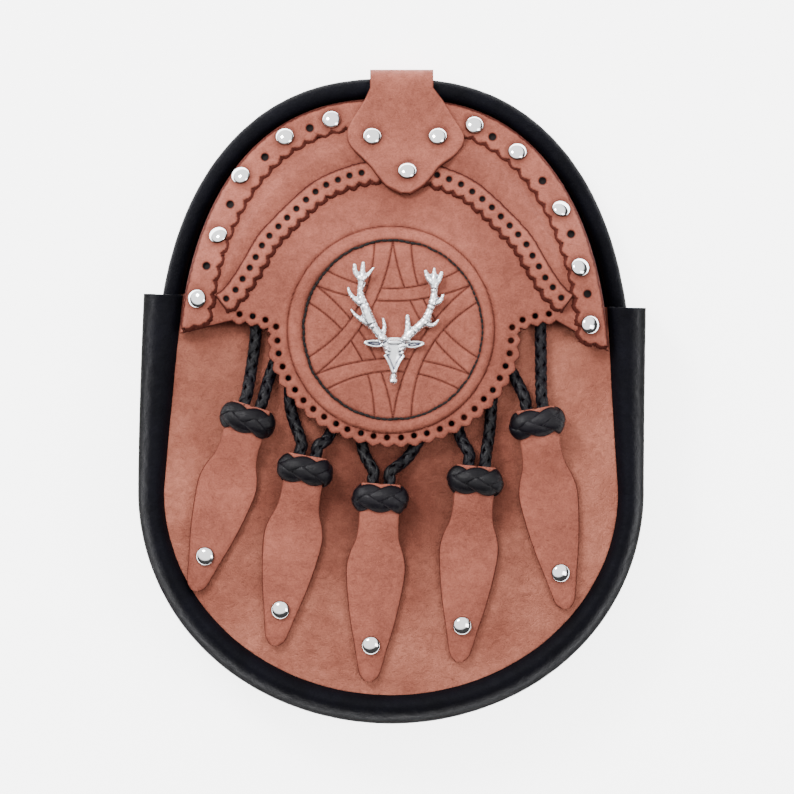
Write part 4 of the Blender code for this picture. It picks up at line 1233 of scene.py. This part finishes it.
def tooling(spots):
    """Lift and tone of the medallion's circles and interlaced straps, with painted shadows beside the raised
    ring.
    """
    from_x, from_y = (spots - STITCHED_CENTRE).T
    radius = np.hypot(from_x, from_y)
    lift, tone = np.zeros((2, len(spots)))
    straps = []
    for k in range(6):
        turn = math.radians(30 + 60 * k)
        u = -from_x * math.sin(turn) + from_y * math.cos(turn)
        v = from_x * math.cos(turn) + from_y * math.sin(turn)
        slant = np.hypot(1, 2 * STRAP_BOW * u)
        half = (STRAP_WIDTH / 2 + STRAP_FLARE * u**2) / slant
        straps.append(((v - STRAP_NEAREST - STRAP_BOW * u**2) / slant, half))
    for (across, half), over in zip(straps, STRAPS_OVER):
        seen = radius < STITCHED_CIRCLE
        for other in over:
            seen &= np.abs(straps[other][0]) > straps[other][1] - 0.1
        edge = np.abs(across) - half
        lift = np.minimum(lift, -0.6 * bell(edge, 0.42) * seen)
        tone = np.maximum(tone, 0.95 * bell(edge, 0.30) * seen)
        lift = lift + 0.28 * np.clip(1 - (across / half) ** 2, 0, None) * seen
    outer = np.hypot(*(spots - TOOLED_CENTRE).T)
    groove, channel = outer - OUTER_GROOVE, radius - STITCHED_CIRCLE
    ring = np.clip(1 - ((outer - RAISED_RING) / RING_HALF_WIDTH) ** 2, 0, None)
    lift = lift - 0.6 * bell(groove, 0.45) + RING_LIFT * ring**0.7 - 0.5 * bell(channel, 0.6)
    # Dark tooled groove and stitch channel; painted shadow just outside the outer groove and just inside the
    # stitch channel, beside the raised ring; and a little darker outside the tooled circle.
    shades = (
        0.15 * smooth_step(groove, 0, 5.0),
        0.85 * bell(groove, 0.31),
        0.22 * bell(groove - 0.5, 1.3),
        0.20 * bell(channel + 0.8, 1.0),
        0.85 * bell(channel, 0.75),
    )
    return lift, np.maximum.reduce([tone, *shades])


def make_flap():
    line = hole_line()
    total = lengths(line)[-1]
    pitch = total / MEDALLION_HOLES
    centres = at_lengths(line, (np.arange(MEDALLION_HOLES) + 0.5) * pitch)
    centres = centres + RANDOM.normal(0, FLAP_HOLE_SCATTER, centres.shape)
    along = np.linspace(0, total, int(total / EDGE_STEP))
    run = np.gradient(line, axis=0)
    normals = at_lengths(line, along, unit(np.column_stack([run[:, 1], -run[:, 0]])))
    reach = SCALLOP_NEAR + SCALLOP_DEPTH * pinked(along / pitch)
    edge = at_lengths(line, along) + normals * reach[:, None]
    arch = arch_outline(FLAP_INSET, TRIM_LEFT_END - LARGE_HOLE, TRIM_RIGHT_END - LARGE_HOLE)
    ends = np.linspace(edge[-1], arch[-1], 30)[1:-1], np.linspace(arch[0], edge[0], 30)[1:-1]
    outline = np.vstack([resample(arch, 420)[::-1], ends[1], edge, ends[0]])
    holes = [circle(x, y, SMALL_HOLE / 2, 14) for x, y in centres]
    band = band_line()
    outer = resample(arch_outline(FLAP_INSET + TRIM_MARGIN + TRIM_WIDTH, TRIM_LEFT_END, TRIM_RIGHT_END), 500)
    padded = np.vstack([outer, band[::-1]])
    from_band, from_outer = distance_from(band), distance_from(outer)

    def relief(spots):
        lift, tone = tooling(spots)
        near_band, near_outer = from_band(spots) - BAND_WIDTH / 2, from_outer(spots)
        pad = np.sqrt(smooth_step(np.minimum(near_band, near_outer), 0.0, PAD_SLOPE)) * inside(spots, padded)
        lift = lift + PAD_LIFT * pad + waves(spots, FLAP_WAVES)
        # Painted shadow on the padded leather where it meets the band and the outer trim.
        tone = np.maximum(tone, 0.40 * np.exp(-np.clip(near_band, 0, None) / 1.3))
        tone = np.maximum(tone, 0.36 * np.exp(-np.clip(near_outer, 0, None) / 1.0))
        return lift, tone

    flap = leather_sheet(
        "flap_leather",
        outline,
        holes,
        flap_height,
        FLAP_THICKNESS,
        relief,
        spacing=1.5,
        flare=0.35,
        fine=(np.array(STITCHED_CENTRE), 42.0, 0.5),
    )
    belongs(flap, "tan_leather", "flap")


def pinked_end(first, last):
    """A pinked edge straight across the end of a strip."""
    line = resample(np.array([first, last]), 40)
    along = (line[-1] - line[0]) / np.linalg.norm(line[-1] - line[0])
    cut = pinked(np.linspace(0, 2, 40))
    return (line + np.outer(cut - 0.4, [along[1], -along[0]]))[1:-1]


def trim_base(x, y):
    return flap_height(x, y) + TRIM_LOW


def dimples(spots, rivets, depth, reach):
    """Lift of the hollows that the rivets press into the leather, and painted shade round each rivet as tone.
    """
    lift, tone = np.zeros((2, len(spots)))
    for rivet in rivets:
        away = np.hypot(*(spots - rivet).T)
        lift = lift - depth * bell(away, reach)
        # Painted shade in a ring round the rivet's edge.
        tone = np.maximum(tone, 0.42 * bell(away - RIVET_DIAMETER / 2, 1.5))
    return lift, tone


def make_outer_trim():
    rivets, punched = trim_places()
    low = TRIM_LEFT_END - TRIM_END_SLANT, TRIM_RIGHT_END - TRIM_END_SLANT
    high = TRIM_LEFT_END + TRIM_END_SLANT, TRIM_RIGHT_END + TRIM_END_SLANT
    outer = arch_outline(FLAP_INSET + TRIM_MARGIN, *low)
    inner = arch_outline(FLAP_INSET + TRIM_MARGIN + TRIM_WIDTH, *high)
    total = lengths(inner)[-1]
    along = np.linspace(0, total, int(total / TRIM_EDGE_STEP))
    cut = pinked(along / total * round(total / TRIM_TOOTH))
    places = at_lengths(inner, along)
    edge = places + inward(places) * (TRIM_TOOTH_DEPTH * cut - TRIM_TOOTH_ROOT)[:, None]
    rough = resample(outer, int(lengths(outer)[-1] / PLAIN_EDGE_STEP))
    rough = rough - inward(rough) * waves(rough, TRIM_ROUGH_CUT)[:, None]
    ends = pinked_end(edge[-1], rough[-1]), pinked_end(rough[0], edge[0])
    outline = np.vstack([rough, ends[0][::-1], edge[::-1], ends[1][::-1]])
    holes = [circle(x, y, LARGE_HOLE / 2, 18) for x, y in punched]

    def relief(spots):
        lift, tone = dimples(spots, rivets, *TRIM_HOLLOW)
        return lift + waves(spots, TRIM_WAVES), tone

    trim = leather_sheet(
        "outer_trim", outline, holes, trim_base, TRIM_THICKNESS, relief, spacing=1.3, flare=1.4, hole_shade_lined=True
    )
    belongs(trim, "tan_leather", "flap_trim_outer")
    for number, (x, y) in enumerate(rivets, 1):
        make_rivet(f"trim_rivet_{number}", lambda u, v: trim_base(u, v) + TRIM_THICKNESS, x, y, TRIM_RIVET_SINK)


def make_arched_band():
    line = band_line()
    total = lengths(line)[-1]
    pitch = total / (2 * BAND_HOLES_A_SIDE + BAND_PLAIN_PITCHES)
    steps = (np.arange(BAND_HOLES_A_SIDE) + 0.5) * pitch
    steps = np.concatenate([steps, total - steps])
    normals = inward(line)
    centres = at_lengths(line - normals * BAND_HOLES_OUT, steps)
    centres = centres + RANDOM.normal(0, BAND_HOLE_SCATTER, centres.shape)
    along = np.linspace(0, total, int(total / EDGE_STEP))
    reach = BAND_WIDTH / 2 - BAND_TOOTH_ROOT + SCALLOP_DEPTH * pinked(along / pitch)
    low = at_lengths(line, along) + at_lengths(line, along, normals) * reach[:, None]
    high = resample(line - normals * BAND_WIDTH / 2, int(total / PLAIN_EDGE_STEP))
    high = high + RANDOM.normal(0, BAND_EDGE_SCATTER, high.shape)
    outline = np.vstack([high, low[::-1]])
    holes = [circle(x, y, SMALL_HOLE / 2, 14) for x, y in centres]

    def relief(spots):
        return waves(spots, BAND_WAVES), np.zeros(len(spots))

    band = leather_sheet(
        "arched_band", outline, holes, trim_base, TRIM_THICKNESS, relief, spacing=1.1, flare=1.3, hole_shade_lined=True
    )
    belongs(band, "tan_leather", "flap_trim_arch")


def make_medallion_stitches():
    """The uneven black backstitch round the tooled circle, each stitch with round ends."""
    turn = np.linspace(0, 2 * math.pi, STITCHES + 1)[:-1]
    all_round, at_top = (RANDOM.normal(0, scatter, STITCHES) for scatter in STITCH_SCATTER)
    radius = STITCHED_CIRCLE + (all_round + 0.5 * (np.sin(turn) > 0.5) * at_top)
    places = np.column_stack([radius * np.cos(turn), radius * np.sin(turn)]) + STITCHED_CENTRE
    starts = np.column_stack([places, flap_height(*places.T) + FLAP_THICKNESS - 0.15])
    share = np.array([0.0, 0.08, 0.25, 0.5, 0.75, 0.92, 1.0])
    thick = 2 * STITCH_RADIUS * np.array([0.25, 0.7, 0.95, 1.0, 0.95, 0.7, 0.25])
    bow = np.outer(np.sin(share * math.pi) * STITCH_RADIUS * 0.5, [0.0, 0.0, 1.0])
    parts = []
    for a, b in zip(starts, np.roll(starts, -1, 0)):
        parts.append(tube(a + share[:, None] * (b - a) + bow, upward(len(share)), thick, thick, 8))
    belongs(mesh_object("medallion_stitches", *joined(parts), [THREAD]), "tan_leather")


make_flap()
make_outer_trim()
make_arched_band()
make_medallion_stitches()


# Hanger tab


def tab_base(x, y):
    return flap_height(x * 0, y) + TAB_LOW


def tab_path():
    """The tab's upper face as places up the front and heights, and how many of them are in front."""
    roll_y = ARCH_TOP - ROLL_DIAMETER / 2
    start_y = roll_y - ROLL_DIAMETER / 2
    front = np.linspace(TAB_TOP - TAB_DROP + 0.15, start_y, 70)
    path = [(y, float(tab_base(0.0, y)) + LEATHER) for y in front]
    high = path[-1][1]
    low = ROLL_CENTRE - ROLL_DIAMETER / 2 - GAP - LEATHER
    middle = (high + low) / 2
    for a in np.radians(np.arange(0, 181, 12)):
        path.append((roll_y + (TAB_TOP - roll_y) * math.sin(a), middle + (high - middle) * math.cos(a)))
    back = BACK_LOW - GAP
    return path + [(start_y, low), (roll_y - TAB_BACK / 2, back), (roll_y - TAB_BACK, back)], len(front)


def make_tab():
    """The tab runs up the flap, over the top roll and down onto the back panel."""
    rows = smooth_curve(np.array(TAB_OUTLINE), 6)
    path, in_front = tab_path()
    columns = np.sin(np.linspace(-1, 1, 61) * math.pi / 2) * 0.5 + 0.5
    rivets = [(TAB_X + across * TAB_HALF_WIDTH, TAB_TOP - down * TAB_DROP) for across, down in TAB_RIVETS]
    points, tone = [], []
    for k, (y, z) in enumerate(path):
        front = k < in_front
        drop = (TAB_TOP - y) / TAB_DROP if front else 0.1
        left, right = (TAB_HALF_WIDTH * np.interp(drop, rows[:, 0], rows[:, side]) for side in (1, 2))
        if front:
            round_tip = math.sqrt(max(1 - max(0, (drop - 0.965) / 0.035) ** 2, 0.02))
            left, right = left * round_tip, right * round_tip
        x = TAB_X + left + (right - left) * columns
        spots = np.column_stack([x, np.full_like(x, y)])
        near = np.minimum(x - x[0], x[-1] - x)
        lift, shade = np.zeros((2, len(x)))
        if front:
            near = np.minimum(near, max(y - TAB_TOP + TAB_DROP, 0.0))
            lift, shade = dimples(spots, rivets, *TAB_HOLLOW)
            lift = lift + waves(spots, TAB_WAVES) - 0.35 * (1 - smooth_step(near, 0, 1.0))
        points.append(np.column_stack([spots, z + lift]))
        tone.append(np.maximum(shade, 0.55 * (1 - smooth_step(near, 0.0, 0.5))))
    faces = grid_faces(len(path), len(columns), False)
    tab = mesh_object("hanger_tab_leather", np.vstack(points), faces, [TAN], np.concatenate(tone))
    thicken(tab)
    belongs(tab, "tan_leather", "hanger_tab")
    for number, (x, y) in enumerate(rivets, 1):
        make_rivet(f"tab_rivet_{number}", lambda u, v: tab_base(u, v) + LEATHER, x, y, TAB_RIVET_SINK)


make_tab()


# Body


def make_front_panel():
    body = body_outline()
    edge = resample(inset(body, rim_reach(body[:, 1]) + GAP), 300)
    mouth = np.linspace(edge[-1], edge[0], 101)[1:-1]
    loop = np.vstack([edge, mouth])
    middle = np.array([0.0, -BODY_WAIST])
    shares = 1 - np.linspace(0, 1, 71)[:-1] ** 1.15
    points = []
    for share in shares:
        spot = middle + share * (loop - middle)
        high = front_height(*spot.T) + waves(spot, *FRONT_WAVES)
        points.append(np.column_stack([spot, high - FRONT_SINK]))
    points.append([[*middle, float(front_height(*middle))]])
    points = np.vstack(points)
    count = len(loop)
    faces = grid_faces(len(shares), count, True)
    start = (len(shares) - 1) * count
    faces += [[start + k, start + (k + 1) % count, len(points) - 1] for k in range(count)]
    x, y = points[:, 0], points[:, 1]
    # Painted shade: between the tassels, at the upper left near the flap, and over all that the flap covers, so
    # that the flap's holes look dark.
    wide, tall = TASSEL_SHADE_HALF
    between = TASSEL_SHADE * np.exp(-((x / wide) ** 4)) * bell(y - TASSEL_SHADE_MIDDLE, tall)
    upper = UPPER_SHADE * smooth_step(y, -45.0, 5.0) * smooth_step(-x, -40.0, 40.0)
    reach = np.hypot((x - MEDALLION[0]) * MEDALLION_DROP / MEDALLION_HALF_WIDTH, y - MEDALLION[1])
    covered = COVERED_SHADE * smooth_step(MEDALLION_DROP + 4.0 - reach, 0, 2.5)
    shade = np.maximum.reduce([between, upper, covered, COVERED_SHADE * smooth_step(y, 24.0, 28.0)])
    panel = mesh_object("front_leather", points, faces, [SUEDE], shade)
    thicken(panel)
    belongs(panel, "tan_leather", "front_panel")


def make_gusset():
    line = resample(body_outline(), 520)
    normals = inward(line)
    section = smooth_curve(np.array(GUSSET_SECTION), 5)
    front = int(np.argmax(section[:, 1] > 0.5))
    columns = []
    for k, (reach, height) in enumerate(section):
        deep = reach * (rim_reach(line[:, 1]) + RIM_PLUMP if k > front else RIM_REACH)
        deep = deep - (1 - reach) * SAG * smooth_step(-line[:, 1], 50.0, 115.0)
        spot = line + normals * np.reshape(deep, (-1, 1))
        columns.append(np.column_stack([spot, np.full(len(line), BODY_DEPTH * height)]))
    points = np.stack(columns, 1).reshape(-1, 3)
    crease = np.abs(waves(points, *GUSSET_CREASES))
    points[:, :2] += np.repeat(normals, len(section), 0) * (crease * 0.6)[:, None]
    points[:, 2] -= crease * (points[:, 2] > BODY_DEPTH / 2)
    points[:, 2] = np.maximum(points[:, 2], 0.0)
    tone = 0.9 * smooth_step(-points[:, 2], -BODY_DEPTH * 0.93, -BODY_DEPTH * 0.8)
    faces = grid_faces(len(line), len(section), False)
    gusset = mesh_object("gusset_leather", points, faces, [BLACK], tone)
    thicken(gusset)
    belongs(gusset, "black_leather", "gusset")


def make_top_roll():
    """The roll, and under it the strip that closes the line between it and the flap."""
    line = arch_outline(ROLL_DIAMETER / 2, LEFT_CORNER - ROLL_DIAMETER, RIGHT_CORNER - ROLL_DIAMETER)
    line = resample(line, 500)
    line[:, 0] += ROLL_BULGE * (smooth_step(line[:, 0], 50.0, 88.0) - smooth_step(-line[:, 0], 50.0, 88.0))
    up = upward(len(line))
    path = np.column_stack([line, np.full(len(line), ROLL_CENTRE)])
    swell = np.array([noise.noise(Vector((k * 0.11, 0, 0))) for k in range(len(line))])
    width = ROLL_DIAMETER - 0.15 + 0.15 * swell
    points, faces = tube(path, up, width, width, 28)
    points = points + waves(points, ROLL_WAVES)[:, None] * [0.3, 0.3, 1.0]
    welt = np.column_stack([inset(line, WELT_INSET), np.full(len(line), BACK_LOW + LEATHER - WELT_SINK)])
    parts = [(points, faces), tube(welt, up, WELT_WIDTH, WELT_THICKNESS, 8)]
    belongs(mesh_object("top_roll_leather", *joined(parts), [BLACK]), "black_leather", "top_roll")


make_front_panel()
make_gusset()
make_top_roll()


def dress_back():
    """The back panel and the belt loops keep their solids, with softened edges and leather."""
    for name in ("back_panel", "belt_loop_left", "belt_loop_right"):
        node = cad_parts[name]
        node.data.materials.clear()
        node.data.materials.append(TAN)
        soft = node.modifiers.new("soft edges", "BEVEL")
        soft.width = 0.5 * MM
        soft.segments = 3
        soft.limit_method = "ANGLE"
        soft.angle_limit = math.radians(40)


dress_back()


# Badge


def blob(centre, radii, turn=0.0):
    """Points and faces of an ellipsoid turned in its plane."""
    bands, sides = 12, 20
    up = np.linspace(0, math.pi, bands + 1)[1:-1]
    points = [[0.0, 0.0, 1.0]]
    for a in up:
        points += [[math.sin(a) * math.cos(b), math.sin(a) * math.sin(b), math.cos(a)] for b in angles(sides)]
    points.append([0.0, 0.0, -1.0])
    points = np.array(points) * radii
    cosine, sine = math.cos(turn), math.sin(turn)
    points = points @ np.array([[cosine, sine, 0], [-sine, cosine, 0], [0, 0, 1]]) + centre
    last = len(points) - 1
    faces = [[last, last - sides + (k + 1) % sides, last - sides + k] for k in range(sides)]
    return points, dome_faces(len(up), sides) + faces


def antlers():
    """Points and faces of the branches, their tips and the webs between them."""
    parts = []
    for branch in (*LEFT_ANTLER, *RIGHT_ANTLER):
        line = smooth_curve(np.array(branch), 5)
        steps = np.arange(len(line))
        path = np.column_stack([line[:, :2], ANTLER_HEIGHT + 0.12 * np.sin(steps * 2.1)])
        radius = ANTLER_SWELL * line[:, 2] * (1 + 0.09 * np.sin(steps * 2.9))
        parts += [tube(path, upward(len(path)), 2 * radius, 2 * radius, 12), blob(path[-1], [radius[-1]] * 3)]
    return parts + [blob((x, y, 1.2), (wide, tall, 1.0), turn) for (x, y), (wide, tall), turn in ANTLER_WEBS]


def head():
    """Points and faces of the skull and muzzle with their lumps and ridges, and of the ears."""
    turn = angles(32)
    rings = []
    for y, wide, high, x in smooth_curve(np.array(HEAD_SECTIONS), 5):
        across = x + wide * np.cos(turn) * (1 + 0.05 * np.cos(2 * turn))
        rings.append(np.column_stack([across, np.full(len(turn), y), 1.0 + (high - 1.0) * np.sin(turn)]))
    parts = [(np.vstack(rings), capped(len(rings), len(turn)))]
    parts += [blob(*lump) for lump in HEAD_LUMPS]
    for ridge in HEAD_RIDGES:
        line = smooth_curve(np.array(ridge), 6)
        parts.append(tube(line, upward(len(line)), 1.25, 1.25, 10))
    turn = angles(40)
    share = (1 - np.cos(turn)) / 2
    wide = EAR_HALF_WIDTH * np.sin(turn) * (1 - 0.45 * share)
    for base, tip in np.array(EARS):
        across = (tip - base) / np.linalg.norm(tip - base)
        leaf = base + np.outer(share, tip - base) + np.outer(wide, [-across[1], across[0]])
        rim = np.column_stack([leaf, np.full(len(leaf), 1.9)])
        parts.append(tube(rim, upward(len(rim)), 0.95, 1.5, 10, closed=True))
        parts.append(blob((*(base * 0.55 + tip * 0.45), 0.9), (3.4, 1.1, 0.5)))
    return parts


def make_badge():
    """A cast stag's head: skull, muzzle, ears and branching antlers fused into one skin."""
    points, faces = joined(antlers() + head())
    points[:, 2] = np.maximum(points[:, 2], 0.0)
    x, y = BADGE
    under = flap_height(np.full(3, x), y + np.array([0.0, 25.0, 45.0]))
    ground = float(np.max(under)) + FLAP_THICKNESS + GAP
    badge = mesh_object("stag_badge_cast", points + [x, y, ground], faces, [SILVER])
    skin = badge.modifiers.new("skin", "REMESH")
    skin.mode = "VOXEL"
    skin.voxel_size = BADGE_VOXEL * MM
    skin.use_smooth_shade = True
    soft = badge.modifiers.new("soft", "SMOOTH")
    soft.factor = 0.5
    soft.iterations = 3
    belongs(badge, "cast_badge", "stag_badge")


make_badge()


# Floor and light


def area_light(name, place, size, energy, target=(0, 0, 0.03)):
    data = bpy.data.lights.new(name, "AREA")
    data.shape = "RECTANGLE"
    data.size, data.size_y = size
    data.energy = energy
    made = bpy.data.objects.new(name, data)
    made.location = place
    aim = Vector(target) - Vector(place)
    made.rotation_euler = aim.to_track_quat("-Z", "Y").to_euler()
    bpy.context.scene.collection.objects.link(made)


def make_stage():
    far = FLOOR_HALF_WIDTH
    corners = [(-far, -far, 0), (far, -far, 0), (far, far, 0), (-far, far, 0)]
    floor = mesh_object("floor", corners, [[0, 1, 2, 3]], [plain("floor_look", (0.93, 0.93, 0.93), 0.8)])
    glow = floor.data.materials[0].node_tree.nodes["Principled BSDF"]
    glow.inputs["Emission Color"].default_value = (1.0, 1.0, 1.0, 1.0)
    glow.inputs["Emission Strength"].default_value = FLOOR_GLOW
    world = bpy.data.worlds.new("studio")
    world.use_nodes = True
    tree = world.node_tree
    way = add_node(tree, "ShaderNodeTexCoord").outputs["Generated"]
    aim = add_node(tree, "ShaderNodeVectorMath", {0: way, 1: SKY_AIM}, operation="DOT_PRODUCT")
    sky = ranged(tree, aim.outputs["Value"], *SKY_EDGE, SKY_DARK, SKY_BRIGHT)
    feed(tree, tree.nodes["Background"].inputs["Strength"], sky)
    feed(tree, tree.nodes["Background"].inputs["Color"], (1.0, 1.0, 1.0, 1.0))
    bpy.context.scene.world = world
    for light in LIGHTS:
        area_light(*light)


make_stage()
